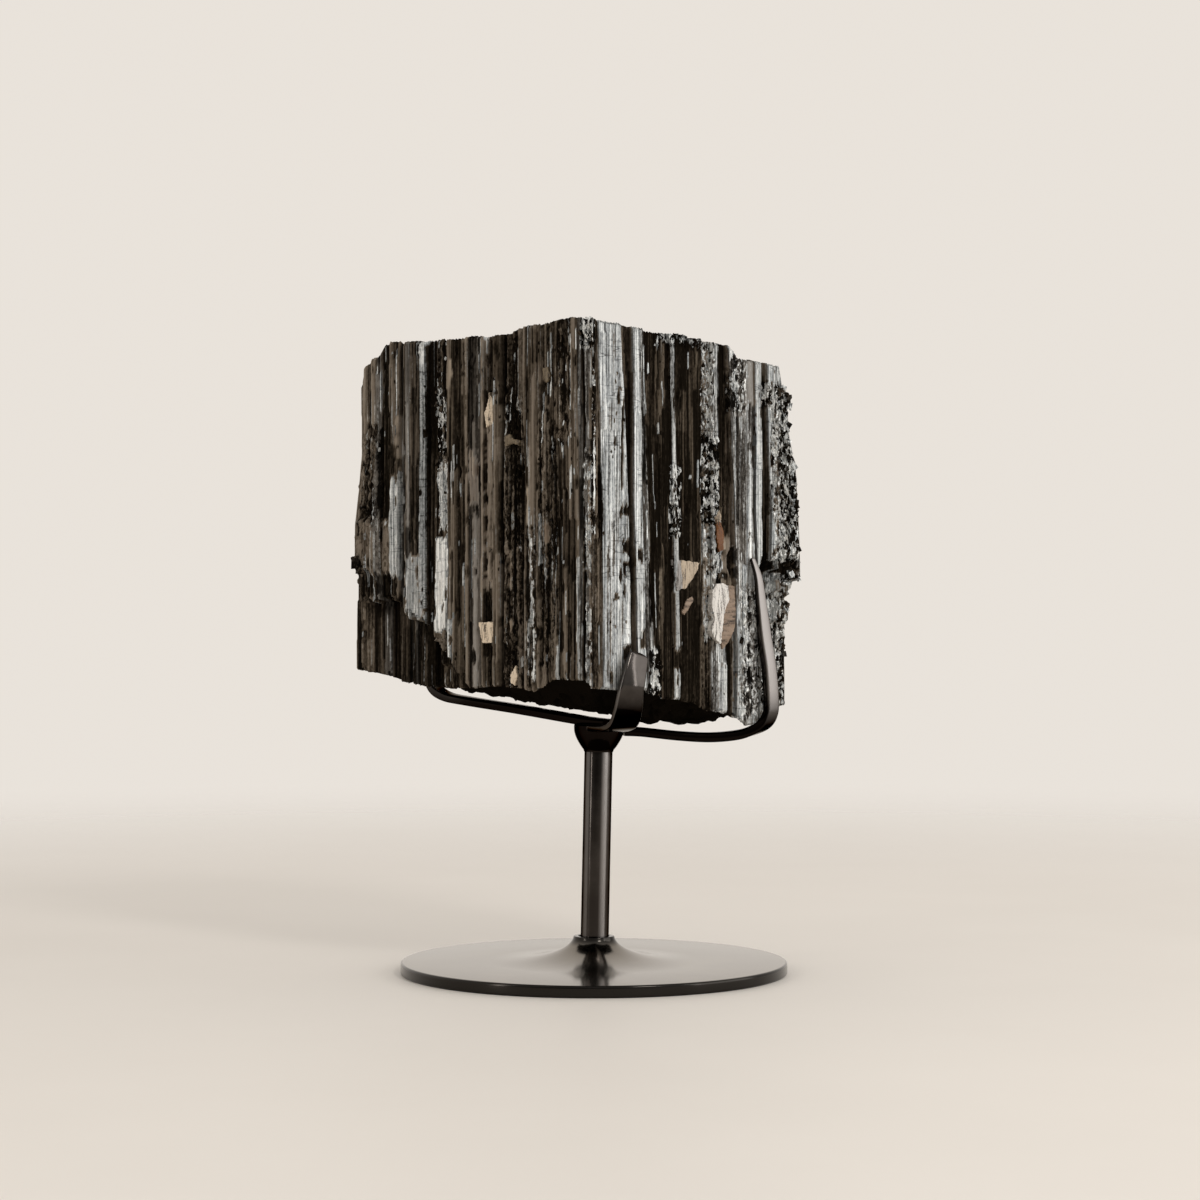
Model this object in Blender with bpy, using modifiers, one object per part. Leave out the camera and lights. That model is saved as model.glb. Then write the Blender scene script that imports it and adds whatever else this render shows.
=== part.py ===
"""Black tourmaline cluster on a three-armed metal stand.

Metres, +Z up. The origin is the centre of the base's underside, on the table. The stone stands
corner-on: its front corner points to -Y, and its two finest faces look to the left and right front.
"""

import math
import random

import bmesh
import bpy
from mathutils import Euler, Vector, geometry, noise

MM = 0.001
GAP = 0.3 * MM  # air left between pieces that touch

# --- base: a disc whose middle rises as a trumpet to a collar
BASE_RADIUS = 89 * MM
BASE_RIM_HEIGHT = 5.5 * MM
BASE_EDGE = 0.7 * MM
COLLAR_RADIUS = 9.4 * MM
COLLAR_HEIGHT = 16.8 * MM
FLARE_RADIUS = 50 * MM  # where the trumpet runs out into the disc
SOCKET_DEPTH = 10 * MM
BASE_STEPS = 64

# --- rod: 13 mm bar that leans a little to the right
ROD_RADIUS = 6.5 * MM
ROD_LEAN = math.radians(1.2)
ROD_TOP = 102.6 * MM
ROUND_STEPS = 32

# --- hub: a cup that widens from the rod to the arms
HUB_RADIUS = 10.8 * MM
HUB_TOP = 113.2 * MM

# --- stone: corners of its plan, seen from above, anticlockwise from the front
FRONT = Vector((-1, -68)) * MM
RIGHT = Vector((96, 28)) * MM
BACK_RIGHT = Vector((50, 86)) * MM
BACK_LEFT = Vector((-48, 82)) * MM
LEFT = Vector((-110, 32)) * MM
WALL = 0.45 * MM  # run of the steep side between one prism and the next
CORNER_REACH = 24 * MM  # how far from a corner its two faces slide towards it as they move out
SEED = 11

# Each prism that shows is a strip of a face: its width, and how far its two edges stand out from the
# face's flat, both in mm. A face's strips run anticlockwise and are stretched to fill the face exactly.
RIGHT_STRIPS = [
    (5.3, 0.4, 0.0), (9.4, 0.8, 0.8), (5.3, 1.0, 1.4), (6.0, -1.6, -1.4), (6.3, 1.0, 0.6),
    (8.3, -0.4, 0.2), (7.7, 0.6, 0.4), (3.9, 1.4, 0.2), (17.1, 0.0, 0.8), (2.6, 1.2, 0.4),
    (4.7, -0.4, -1.0), (4.7, 0.7, 0.0), (6.7, -2.0, -1.6), (9.5, 1.2, 1.6), (5.5, 0.6, 0.8),
    (2.0, -1.2, -1.2), (5.0, 1.6, 1.0), (6.0, -2.5, -3.5), (3.6, 0.2, 0.8), (8.4, 1.0, 0.4),
    (8.5, 1.0, 0.6),
]
LEFT_STRIPS = [
    (5.5, 0.4, 0.6), (7.8, 0.2, 0.9), (1.3, -1.8, -1.8), (6.9, 0.2, 0.0), (4.7, 1.8, 1.0),
    (3.4, -1.2, -1.2), (4.7, 1.2, 2.0), (6.0, 1.4, 0.5), (4.6, 1.0, 2.2), (2.7, -5.0, -5.0),
    (2.6, -2.0, -1.5), (8.5, -0.6, 1.2), (4.6, 2.0, 0.8), (7.8, 1.2, 0.4), (1.8, 1.6, 1.6),
    (6.0, 1.0, -0.2), (2.5, 0.2, 0.8), (7.0, -0.6, 0.0), (4.5, 1.8, 1.4), (1.2, -2.6, -2.6),
    (10.1, -0.4, 0.4), (3.1, -1.0, -1.0), (9.3, 1.6, 0.8), (7.3, -0.3, -0.7), (4.9, 0.6, 0.2),
    (10.2, 1.4, 0.6), (2.4, 0.4, 1.2), (3.0, 0.5, 0.5), (3.2, 0.7, 0.3),
]

# Heights round the stone, in mm: (distance anticlockwise along a face, height).
RIGHT_TOP = [
    (0, 295.3), (12, 294.3), (25, 293.1), (40, 291.8), (56, 291.6), (69, 289.8), (82, 288.9), (94, 288.2),
    (97, 283), (100, 281.8), (104, 276), (108, 273.4), (109, 281), (117, 280.6), (125, 280.8),
    (127, 270.5), (131, 266.3), (137, 264),
]
RIGHT_FOOT = [
    (0, 133), (13, 131.4), (30, 131.5), (40, 126.8), (51, 126.5), (63, 124.9), (69, 122.9), (77, 120.4),
    (88, 118.3), (96, 115.3), (101, 113.4), (106, 113.6), (111, 116.7), (116, 119.3), (137, 122),
]
LEFT_TOP = [
    (0, 272), (3, 280), (7.5, 284), (13, 287.4), (15, 290.3), (20, 292), (38, 291), (56, 291.2), (77, 291.3),
    (98, 291.4), (100, 293.6), (117, 294.3), (124, 295.4), (135, 296.2), (148, 295.3),
]
LEFT_FOOT = [
    (0, 138.6), (8, 136.6), (17, 134), (29, 132.4), (40, 131.2), (57, 130.6), (76, 131.5), (92, 132.3),
    (105, 131.7), (114, 130.5), (120, 133.8), (123, 136), (144, 136.2), (148, 133),
]
# The outer slab on the left face is broken off along a slanting ledge, and the prisms behind it show below.
LEFT_LEDGE = [(0, 184), (25, 170), (46, 160.5), (68, 142), (72, 136)]
LEFT_LEDGE_STEP = [(0, 0), (6, 3), (16, 6.5), (60, 6.5), (68, 4), (74, 0)]
# The right-hand corner has lost a slab too, under a short hollow.
RIGHT_LEDGE = [(104, 186), (112, 190), (125, 184), (137, 180)]
RIGHT_LEDGE_STEP = [(104, 0), (112, 3), (118, 5.5), (137, 5.5)]
# How far the two outer corners stand out at each height: (height, stand-out), in mm.
RIGHT_CORNER = [
    (122, 0.4), (180, 0.4), (184, 0.6), (205, 0.2), (220, -0.3), (235, -1.2), (248, -3.6),
    (262, -4.2), (268, -2.8), (285, -4.5),
]
LEFT_CORNER = [(139, 1.4), (183, 1.4), (187, 1.9), (205, 1.6), (225, 0.4), (240, -0.2), (290, -0.3)]

# The underside bellies down to the arms: its height along X, in mm.
BELLY = [
    (-110, 137), (-76, 129.8), (-59, 127), (-35, 123.6), (-12, 120.3), (4, 118.6), (12, 115.8),
    (25, 112.9), (50, 111.9), (82, 112.3), (96, 118),
]
BELLY_RIM = 36 * MM  # how far in from the edge the belly begins
TOP_RIM = 14 * MM  # the broken top is a little lower than its edge from this far in
TOP_HOLLOW = 3 * MM

# --- arms: (x, y, z) of the bar's middle, half width and half thickness, all in mm
LEFT_ARM = [
    (1.2, 0.9, 115.6, 4.2, 2.0), (-9, 8.7, 116.8, 4.2, 2.05), (-35, 29, 120, 4.1, 2.05),
    (-60, 48.6, 123.2, 4.0, 2.05), (-71, 57.2, 125.2, 4.0, 2.05), (-77, 62.2, 129.6, 4.0, 2.0),
    (-78.9, 63.9, 138, 3.9, 1.9), (-78.9, 63.9, 152, 3.5, 1.6), (-78.1, 63.3, 166, 2.8, 1.1),
]
FRONT_PRONG = [
    (3.2, -11.5, 112.0, 6.8, 2.2), (6.2, -21, 112.5, 6.8, 2.2), (9.4, -32, 114.4, 6.7, 2.1),
    (12.3, -43, 118.4, 6.6, 2.0), (15, -52.6, 124.4, 6.2, 1.9), (17, -57.2, 131, 5.4, 1.7),
    (19.1, -56.4, 138.2, 4.7, 1.4), (20.9, -53.6, 146, 3.9, 1.0),
]
RIGHT_ARM = [
    (14, 0.4, 111, 4.0, 2.15), (22, 1.6, 110.6, 4.0, 2.15), (38, 4.1, 108.8, 4.0, 2.15),
    (53, 6.6, 107.9, 4.0, 2.15), (66, 8.6, 108.5, 4.0, 2.15), (76.5, 9.9, 110.6, 4.0, 2.15),
    (83.4, 10.3, 115.4, 4.0, 2.15), (85.2, 10.4, 124, 4.0, 2.15), (84, 9.2, 140, 3.9, 2.1),
    (82.2, 7.3, 155, 3.4, 1.8), (79.4, 4.5, 172, 2.6, 1.4), (76.6, 1.8, 188.5, 1.7, 0.9),
]
ARM_FILLET = 0.28  # share of the half thickness taken off a bar's edges
STATIONS_PER_SPAN = 3

STEEL = ((0.030, 0.027, 0.025), 0.32, 1.0)  # colour, roughness, metallic
STONE = ((0.022, 0.019, 0.016), 0.35, 0.0)


def material(name, colour, roughness, metallic):
    made = bpy.data.materials.new(name)
    made.use_nodes = True
    shader = made.node_tree.nodes["Principled BSDF"]
    shader.inputs["Base Color"].default_value = (*colour, 1.0)
    shader.inputs["Roughness"].default_value = roughness
    shader.inputs["Metallic"].default_value = metallic
    return made


def add_object(name, mesh, finish, smooth_angle=None):
    made = bpy.data.objects.new(name, mesh)
    mesh.materials.append(material(name, *finish))
    if smooth_angle is not None:
        mesh.shade_smooth()
        mesh.set_sharp_from_angle(angle=smooth_angle)
    bpy.data.collections[COLLECTION].objects.link(made)
    return made


def value_at(points, t):
    """Height of a line through the given (t, value) points."""
    if t <= points[0][0]:
        return points[0][1]
    for (t0, v0), (t1, v1) in zip(points, points[1:]):
        if t <= t1:
            return v0 + (v1 - v0) * (t - t0) / (t1 - t0)
    return points[-1][1]


def smooth_step(t):
    t = min(max(t, 0.0), 1.0)
    return t * t * (3 - 2 * t)


# --- turned pieces


def turned(name, profile, steps, finish):
    """A solid of revolution. The profile runs down its outer side, from axis to axis."""
    mesh = bpy.data.meshes.new(name)
    edges = [(i, i + 1) for i in range(len(profile) - 1)]
    mesh.from_pydata([(r, 0, z) for r, z in profile], edges, [])
    made = add_object(name, mesh, finish)
    screw = made.modifiers.new("turn", "SCREW")
    screw.axis = "Z"
    screw.steps = steps
    screw.render_steps = steps
    screw.use_merge_vertices = True
    screw.merge_threshold = 0.00001
    screw.use_smooth_shade = True
    return made


def make_base():
    socket_radius = ROD_RADIUS + GAP + COLLAR_HEIGHT * math.tan(ROD_LEAN)
    profile = [
        (0, COLLAR_HEIGHT - SOCKET_DEPTH),
        (socket_radius, COLLAR_HEIGHT - SOCKET_DEPTH),
        (socket_radius, COLLAR_HEIGHT),
        (COLLAR_RADIUS, COLLAR_HEIGHT),
    ]
    # The trumpet falls steeply at the collar and dies out into the disc.
    spans = 7
    for i in range(1, spans + 1):
        share = i / spans
        radius = COLLAR_RADIUS + (FLARE_RADIUS - COLLAR_RADIUS) * share**1.6
        height = BASE_RIM_HEIGHT + (COLLAR_HEIGHT - 0.3 * MM - BASE_RIM_HEIGHT) * (1 - share) ** 2.1
        profile.append((radius, height))
    profile += [
        (BASE_RADIUS - BASE_EDGE, BASE_RIM_HEIGHT - 0.2 * MM),
        (BASE_RADIUS, BASE_RIM_HEIGHT - BASE_EDGE),
        (BASE_RADIUS, BASE_EDGE),
        (BASE_RADIUS - BASE_EDGE, 0),
        (0, 0),
    ]
    return turned("base", profile, BASE_STEPS, STEEL)


def lean_frame(piece):
    """Leans a piece over to the right about the centre of the base's underside."""
    piece.rotation_euler = Euler((0, ROD_LEAN, 0))


def make_rod():
    foot = COLLAR_HEIGHT - SOCKET_DEPTH + 2 * GAP
    head = ROD_TOP
    bm = bmesh.new()
    bmesh.ops.create_cone(
        bm, cap_ends=True, segments=ROUND_STEPS, radius1=ROD_RADIUS, radius2=ROD_RADIUS, depth=head - foot
    )
    bmesh.ops.translate(bm, verts=bm.verts, vec=(0, 0, (head + foot) / 2))
    mesh = bpy.data.meshes.new("rod")
    bm.to_mesh(mesh)
    bm.free()
    lean_frame(add_object("rod", mesh, STEEL, math.radians(40)))


def make_hub():
    foot = ROD_TOP + GAP
    head = HUB_TOP
    edge = 0.9 * MM
    profile = [(0, head), (HUB_RADIUS - edge, head), (HUB_RADIUS, head - edge)]
    # The cup's side is close to a quarter of an ellipse that ends at the rod's own width.
    arcs = 7
    side = head - edge - foot
    for i in range(1, arcs + 1):
        angle = math.pi / 2 * i / arcs
        radius = ROD_RADIUS + (HUB_RADIUS - ROD_RADIUS) * math.cos(angle) ** 1.4
        profile.append((radius, head - edge - side * math.sin(angle)))
    profile.append((0, foot))
    lean_frame(turned("hub", profile, ROUND_STEPS, STEEL))


# --- bars that become blades


def spline_point(points, i, t):
    """Catmull-Rom through a list of tuples, between entries i and i + 1."""
    p0 = points[max(i - 1, 0)]
    p1, p2 = points[i], points[i + 1]
    p3 = points[min(i + 2, len(points) - 1)]
    return [
        0.5 * (2 * b + (c - a) * t + (2 * a - 5 * b + 4 * c - d) * t**2 + (3 * b - a - 3 * c + d) * t**3)
        for a, b, c, d in zip(p0, p1, p2, p3)
    ]


def blade_section(half_width, half_thickness):
    """A rectangle with its corners cut off, anticlockwise, across a bar."""
    cut = ARM_FILLET * 2 * half_thickness
    w, t = half_width, half_thickness
    return [
        (w, -t + cut), (w, t - cut), (w - cut, t), (-w + cut, t),
        (-w, t - cut), (-w, -t + cut), (-w + cut, -t), (w - cut, -t),
    ]


def make_blade(name, rows, across_start, across_end):
    """Lofts a flat bar along its middle line. across_... is the direction of its width at each end."""
    stations = []
    for i in range(len(rows) - 1):
        stations += [spline_point(rows, i, k / STATIONS_PER_SPAN) for k in range(STATIONS_PER_SPAN)]
    stations.append(list(rows[-1]))
    # The tip is rounded off by three shrinking sections.
    x, y, z, half_width, half_thickness = rows[-1]
    last = Vector(rows[-1][:3]) - Vector(rows[-2][:3])
    for angle in (25, 50, 72):
        lift = last.normalized() * half_width * 0.8 * math.sin(math.radians(angle))
        shrink = math.cos(math.radians(angle))
        thin = half_thickness * (0.5 + 0.5 * shrink)
        stations.append([x + lift.x, y + lift.y, z + lift.z, half_width * shrink, thin])
    middles = [Vector(s[:3]) * MM for s in stations]
    bm = bmesh.new()
    rings = []
    for i, (middle, station) in enumerate(zip(middles, stations)):
        tangent = (middles[min(i + 1, len(middles) - 1)] - middles[max(i - 1, 0)]).normalized()
        share = i / (len(stations) - 1)
        across = Vector(across_start).lerp(Vector(across_end), share)
        across = (across - tangent * across.dot(tangent)).normalized()
        up = tangent.cross(across)
        ring = [bm.verts.new(middle + across * u * MM + up * v * MM) for u, v in blade_section(*station[3:])]
        rings.append(ring)
    count = len(rings[0])
    for low, high in zip(rings, rings[1:]):
        for k in range(count):
            bm.faces.new((low[k], low[(k + 1) % count], high[(k + 1) % count], high[k]))
    bm.faces.new(rings[0][::-1])
    bm.faces.new(rings[-1])
    bmesh.ops.recalc_face_normals(bm, faces=bm.faces)
    mesh = bpy.data.meshes.new(name)
    bm.to_mesh(mesh)
    bm.free()
    add_object(name, mesh, STEEL, math.radians(35))


# --- the stone


def grown_strips(length, draw):
    """Strips for a face that nothing hides or picks out: widths and edges drawn at random, in mm."""
    strips = []
    while sum(width for width, _, _ in strips) < length - 4:
        width = draw.uniform(3.2, 9.5)
        near = draw.uniform(-0.8, 1.8)
        strips.append((width, near, near + draw.uniform(-0.9, 0.9)))
        if draw.random() < 0.3:
            strips.append((1.4, -2.2, -2.2))
    return strips


def faces_of_stone():
    """The five faces: start corner, end corner, strips, top, foot, ledge and the ledge's step."""
    draw = random.Random(SEED)
    plain_ledge = [(0, 190)]
    no_step = [(0, 0)]
    corners = [RIGHT, BACK_RIGHT, BACK_LEFT, LEFT]
    tops = [264, 285, 290, 272]
    feet = [122, 124, 131, 139.4]
    faces = [(FRONT, RIGHT, RIGHT_STRIPS, RIGHT_TOP, RIGHT_FOOT, RIGHT_LEDGE, RIGHT_LEDGE_STEP)]
    for i in range(3):
        length = (corners[i + 1] - corners[i]).length / MM
        top = [(0, tops[i]), (length * 0.45, 291), (length * 0.8, 288), (length, tops[i + 1])]
        if i == 0:
            top[1:2] = [(length * 0.12, 269), (length * 0.44, 275), (length * 0.56, 285)]
        foot = [(0, feet[i]), (length, feet[i + 1])]
        step = [(0, 7), (length * 0.25, 4), (length * 0.4, 0)] if i == 0 else no_step
        if i == 2:
            step = [(length * 0.6, 0), (length, 1.5)]
        ledge = [(0, 186), (length, 180)] if i < 2 else plain_ledge
        faces.append((corners[i], corners[i + 1], grown_strips(length, draw), top, foot, ledge, step))
    faces.append((LEFT, FRONT, LEFT_STRIPS, LEFT_TOP, LEFT_FOOT, LEFT_LEDGE, LEFT_LEDGE_STEP))
    return faces


def corner_lean(before, corner, after):
    """How far a surface near a corner slides along its face for each metre that it moves out."""
    turn = (corner - before).angle((after - corner))
    return math.tan(turn / 2)


def stone_columns():
    """The stone's upright edges in order, as tuples.

    (point on the face's flat, outward direction, stand-out, top, foot, ledge, step, share of
    RIGHT_CORNER, share of LEFT_CORNER)
    """
    draw = random.Random(SEED + 1)
    columns = []
    faces = faces_of_stone()
    for n, (start, end, strips, top, foot, ledge, step) in enumerate(faces):
        length = (end - start).length
        along = (end - start).normalized()
        flat_outward = Vector((along.y, -along.x))
        lean_start = corner_lean(faces[n - 1][0], start, end)
        lean_end = corner_lean(start, end, faces[(n + 1) % len(faces)][1])
        stretch = length / sum(width for width, _, _ in strips)
        reached = 0.0
        for width, near, far in strips:
            middle = (reached + width * stretch / 2) / MM
            lift = draw.uniform(-0.7, 0.5)
            for edge, stand_out in ((reached + WALL, near), (reached + width * stretch - WALL, far)):
                at = edge / MM
                near_start = max(0, 1 - edge / CORNER_REACH)
                near_end = max(0, 1 - (length - edge) / CORNER_REACH)
                outward = flat_outward + along * (lean_end * near_end - lean_start * near_start)
                on_right = near_start * (start is RIGHT) + near_end * (end is RIGHT)
                on_left = near_start * (start is LEFT) + near_end * (end is LEFT)
                columns.append(
                    (
                        start + along * edge,
                        outward,
                        stand_out * MM,
                        (value_at(top, (at + 2 * middle) / 3) + lift) * MM,
                        (value_at(foot, at) - 0.4 * lift) * MM,
                        value_at(ledge, at) * MM,
                        value_at(step, at) * MM,
                        on_right,
                        on_left,
                    )
                )
            reached += width * stretch
    return columns


def stone_rings(columns):
    """Rings of points from the foot to the top. Two of them follow the ledge, under and over it."""
    low_shares = [0.0, 0.03, 0.3, 0.65]
    high_shares = [0.2, 0.4, 0.6, 0.8, 0.96, 1.0]
    ledge_half = 1.2 * MM
    rings = [[] for _ in range(len(low_shares) + 2 + len(high_shares))]
    for flat, outward, stand_out, top, foot, ledge, step, on_right, on_left in columns:
        ledge = min(max(ledge, foot + 6 * MM), top - 20 * MM)
        under, over = ledge - ledge_half, ledge + ledge_half
        heights = [foot + (under - foot) * s for s in low_shares] + [under, over]
        heights += [over + (top - over) * s for s in high_shares]
        last = len(heights) - 1
        for k, z in enumerate(heights):
            reach = stand_out - (step if k <= len(low_shares) else 0)
            reach += value_at(RIGHT_CORNER, z / MM) * on_right * MM
            reach += value_at(LEFT_CORNER, z / MM) * on_left * MM
            spot = flat + outward * reach
            wander = noise.noise(Vector((spot.x / 0.02, spot.y / 0.02, z / 0.03))) * 0.9 * MM
            pull_in = 1.4 * MM if k in (0, last) else 0
            spot += outward * (wander * 0.6 - pull_in)
            rings[k].append(Vector((spot.x, spot.y, z)))
    return rings


def distance_to_rim(spot, rim):
    best = 1.0
    for a, b in zip(rim, rim[1:] + rim[:1]):
        near, share = geometry.intersect_point_line(spot, a, b)
        near = a if share < 0 else b if share > 1 else near
        best = min(best, (near.to_2d() - spot.to_2d()).length)
    return best


def broken_end(bm, ring, height_at, spacing):
    """Closes the stone over a ring with a rough broken surface of small faces."""
    rim = [v.co.to_2d() for v in ring]
    low = Vector((min(p.x for p in rim), min(p.y for p in rim)))
    high = Vector((max(p.x for p in rim), max(p.y for p in rim)))
    draw = random.Random(SEED + 2)
    inner = []
    rows = int((high.y - low.y) / spacing) + 1
    cells = int((high.x - low.x) / spacing) + 1
    rim3 = [p.to_3d() for p in rim]
    for j in range(rows):
        for i in range(cells):
            spot = low + Vector((i + draw.uniform(0.2, 0.8), j + draw.uniform(0.2, 0.8))) * spacing
            crossings = 0
            for a, b in zip(rim, rim[1:] + rim[:1]):
                if (a.y > spot.y) != (b.y > spot.y):
                    crossings += spot.x < a.x + (spot.y - a.y) * (b.x - a.x) / (b.y - a.y)
            if crossings % 2 and distance_to_rim(spot.to_3d(), rim3) > spacing * 0.45:
                inner.append(spot)
    count = len(rim)
    loop = [(i, (i + 1) % count) for i in range(count)]
    spots, _, triangles, _, _, _ = geometry.delaunay_2d_cdt(rim + inner, loop, [], 1, 1e-7)
    verts = list(ring)
    for spot in spots[count:]:
        verts.append(bm.verts.new((spot.x, spot.y, height_at(spot, rim3, ring))))
    for corner in triangles:
        bm.faces.new([verts[i] for i in corner])


def rim_height(spot, ring):
    """Height of the rim near a spot: every point of the ring counts, the near ones most."""
    total, weight = 0.0, 0.0
    for v in ring:
        w = 1 / ((v.co.to_2d() - spot).length_squared + (3 * MM) ** 2) ** 1.5
        total += v.co.z * w
        weight += w
    return total / weight


def top_height(spot, rim3, ring):
    """The broken top follows its edge and is a little hollow."""
    inward = smooth_step(distance_to_rim(spot.to_3d(), rim3) / TOP_RIM)
    rough = noise.noise(Vector((spot.x / 0.011, spot.y / 0.011, 3.0)))
    return rim_height(spot, ring) - inward * TOP_HOLLOW + rough * 1.8 * MM


def foot_height(spot, rim3, ring):
    """The underside falls from its edge to the belly."""
    belly = value_at(BELLY, spot.x / MM) * MM
    rim_share = 1 - smooth_step(distance_to_rim(spot.to_3d(), rim3) / BELLY_RIM)
    rough = abs(noise.noise(Vector((spot.x / 0.012, spot.y / 0.012, 8.0))))
    return belly + (rim_height(spot, ring) - belly) * rim_share + rough * 1.4 * MM


def make_stone():
    bm = bmesh.new()
    rings = [[bm.verts.new(p) for p in ring] for ring in stone_rings(stone_columns())]
    count = len(rings[0])
    for low, high in zip(rings, rings[1:]):
        for k in range(count):
            bm.faces.new((low[k], low[(k + 1) % count], high[(k + 1) % count], high[k]))
    broken_end(bm, rings[-1], top_height, 12 * MM)
    broken_end(bm, rings[0], foot_height, 9 * MM)
    bmesh.ops.triangulate(bm, faces=bm.faces)
    bmesh.ops.recalc_face_normals(bm, faces=bm.faces)
    mesh = bpy.data.meshes.new("tourmaline")
    bm.to_mesh(mesh)
    bm.free()
    return add_object("tourmaline", mesh, STONE)


COLLECTION = "black_tourmaline_on_stand"

for old in list(bpy.data.objects):
    bpy.data.objects.remove(old)
bpy.context.scene.collection.children.link(bpy.data.collections.new(COLLECTION))
make_base()
make_rod()
make_hub()
make_blade("left_arm", LEFT_ARM, (0.616, 0.788, 0), (0.779, 0.628, 0))
make_blade("front_prong", FRONT_PRONG, (0.95, 0.31, 0), (0.85, 0.52, 0))
make_blade("right_arm", RIGHT_ARM, (-0.16, 0.99, 0), (0.7108, 0.7034, 0))
make_stone()
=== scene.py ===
# %% [markdown]
# # Black tourmaline on a three-armed stand
# A block of ribbed black crystals stands corner-on in a cradle of three bent steel arms. The arms spring
# from a small cup on a thin rod, and the rod rises from a spun steel disc. The packed model gives every
# part's place and size in metres. This lesson gives the parts finer shapes and real finishes.

import math
import random
from collections import namedtuple

import bmesh
import bpy
from mathutils import Euler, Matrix, Vector, geometry, noise


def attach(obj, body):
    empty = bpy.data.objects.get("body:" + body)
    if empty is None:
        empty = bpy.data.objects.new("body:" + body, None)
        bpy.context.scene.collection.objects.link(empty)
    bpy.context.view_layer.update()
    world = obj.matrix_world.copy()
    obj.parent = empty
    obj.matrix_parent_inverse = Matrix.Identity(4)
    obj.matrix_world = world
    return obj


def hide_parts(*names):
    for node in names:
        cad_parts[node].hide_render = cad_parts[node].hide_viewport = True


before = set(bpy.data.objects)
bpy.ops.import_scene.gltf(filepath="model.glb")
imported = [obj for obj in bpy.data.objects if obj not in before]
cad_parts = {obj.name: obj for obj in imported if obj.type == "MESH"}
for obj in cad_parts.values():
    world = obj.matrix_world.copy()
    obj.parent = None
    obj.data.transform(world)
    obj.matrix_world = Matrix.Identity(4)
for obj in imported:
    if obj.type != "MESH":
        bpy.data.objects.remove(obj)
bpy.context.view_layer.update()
print("packed pieces:", sorted(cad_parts))

# %% [markdown]
# ## Small tools
# Sizes below are in millimetres, because a stand is made in millimetres, and `MM` turns them into
# metres. `value_at` reads a line drawn through a few points, which is how a maker writes down a profile.
# Two kinds of noise give everything uneven: one that rolls softly, and one that jumps from cell to cell.

# %% Sizes and profiles
MM = 0.001


def value_at(points, t):
    """The value at t on a line drawn through (t, value) points."""
    if t <= points[0][0]:
        return points[0][1]
    for (t0, v0), (t1, v1) in zip(points, points[1:]):
        if t <= t1:
            return v0 + (v1 - v0) * (t - t0) / (t1 - t0)
    return points[-1][1]


def smooth_step(t):
    """0 below 0, 1 above 1, and a soft climb between them."""
    t = min(max(t, 0.0), 1.0)
    return t * t * (3 - 2 * t)


def blend(a, b, share):
    """a where share is 0 and b where it is 1."""
    return a + (b - a) * share


def soft_noise(x, y, seed):
    return noise.noise(Vector((x, y, seed)))


def cell_noise(x, y, seed):
    return noise.cell(Vector((x, y, seed)))


def mesh_of(bm, name):
    mesh = bpy.data.meshes.new(name)
    bm.to_mesh(mesh)
    bm.free()
    return mesh


print("half way up a ramp from 0 to 10 mm:", value_at([(0, 0), (1, 10)], 0.5), "mm")

# %% [markdown]
# ## The camera
# The piece is seen from straight ahead at the height of the stone's lower half, through a lens long
# enough to keep its upright edges upright. The camera looks along +Y and has no shift.

# %% Camera
CAMERA_PLACE = Vector((2.8, -1328, 171.5)) * MM
SENSOR_WIDTH, LENS = 36, 86.4  # mm
LEVEL = math.radians(90)
camera = bpy.data.objects.new("camera", bpy.data.cameras.new("camera"))
camera.location = CAMERA_PLACE
camera.rotation_euler = (LEVEL, 0, 0)
camera.data.sensor_width = SENSOR_WIDTH
camera.data.lens = LENS
bpy.context.scene.collection.objects.link(camera)
bpy.context.scene.camera = camera
bpy.context.scene.view_settings.view_transform = "Standard"
print("camera distance in mm:", round(-CAMERA_PLACE.y / MM))

# %% [markdown]
# ## Shaders written as sums
# Each finish below is a node tree. Nodes could be added and linked one by one, but a tree is easier to
# read as arithmetic. `Wire` stands for what comes out of one socket, and Python's own signs add the
# Math nodes, also with a number on the left, as in `1 - mask`.

# %% Wires


def sign(operation, reflected=False):
    """A method that adds a Math node. Reflected, it is the one for a number to the left of the wire."""

    def method(self, other):
        first, second = (other, self) if reflected else (self, other)
        return self.recipe.node("ShaderNodeMath", {"operation": operation}, {0: first, 1: second})

    return method


class Wire:
    """What comes out of one socket. Signs between wires and numbers add Math nodes."""

    __add__, __radd__ = sign("ADD"), sign("ADD", reflected=True)
    __sub__, __rsub__ = sign("SUBTRACT"), sign("SUBTRACT", reflected=True)
    __mul__, __rmul__ = sign("MULTIPLY"), sign("MULTIPLY", reflected=True)
    __pow__ = sign("POWER")
    at_least = sign("MAXIMUM")

    def __init__(self, recipe, socket):
        self.recipe = recipe
        self.socket = socket

    def rise(self, low, high):
        """0 below low, 1 above high, and a smooth climb between them."""
        return self.recipe.node(
            "ShaderNodeMapRange",
            {"interpolation_type": "SMOOTHSTEP"},
            {"Value": self, "From Min": low, "From Max": high},
        )

    def sibling(self, output):
        """Another output of the node that this wire comes from."""
        return Wire(self.recipe, self.socket.node.outputs[output])


print("signs that a wire knows: +, -, * and **")

# %% [markdown]
# ## Recipes
# `Recipe` holds one node tree. Its method `node` adds any other node: its type, its settings, and what
# goes into its sockets. The nodes that the finishes use again and again have short methods of their
# own, and `finish` puts a whole material together.

# %% Recipes


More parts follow.
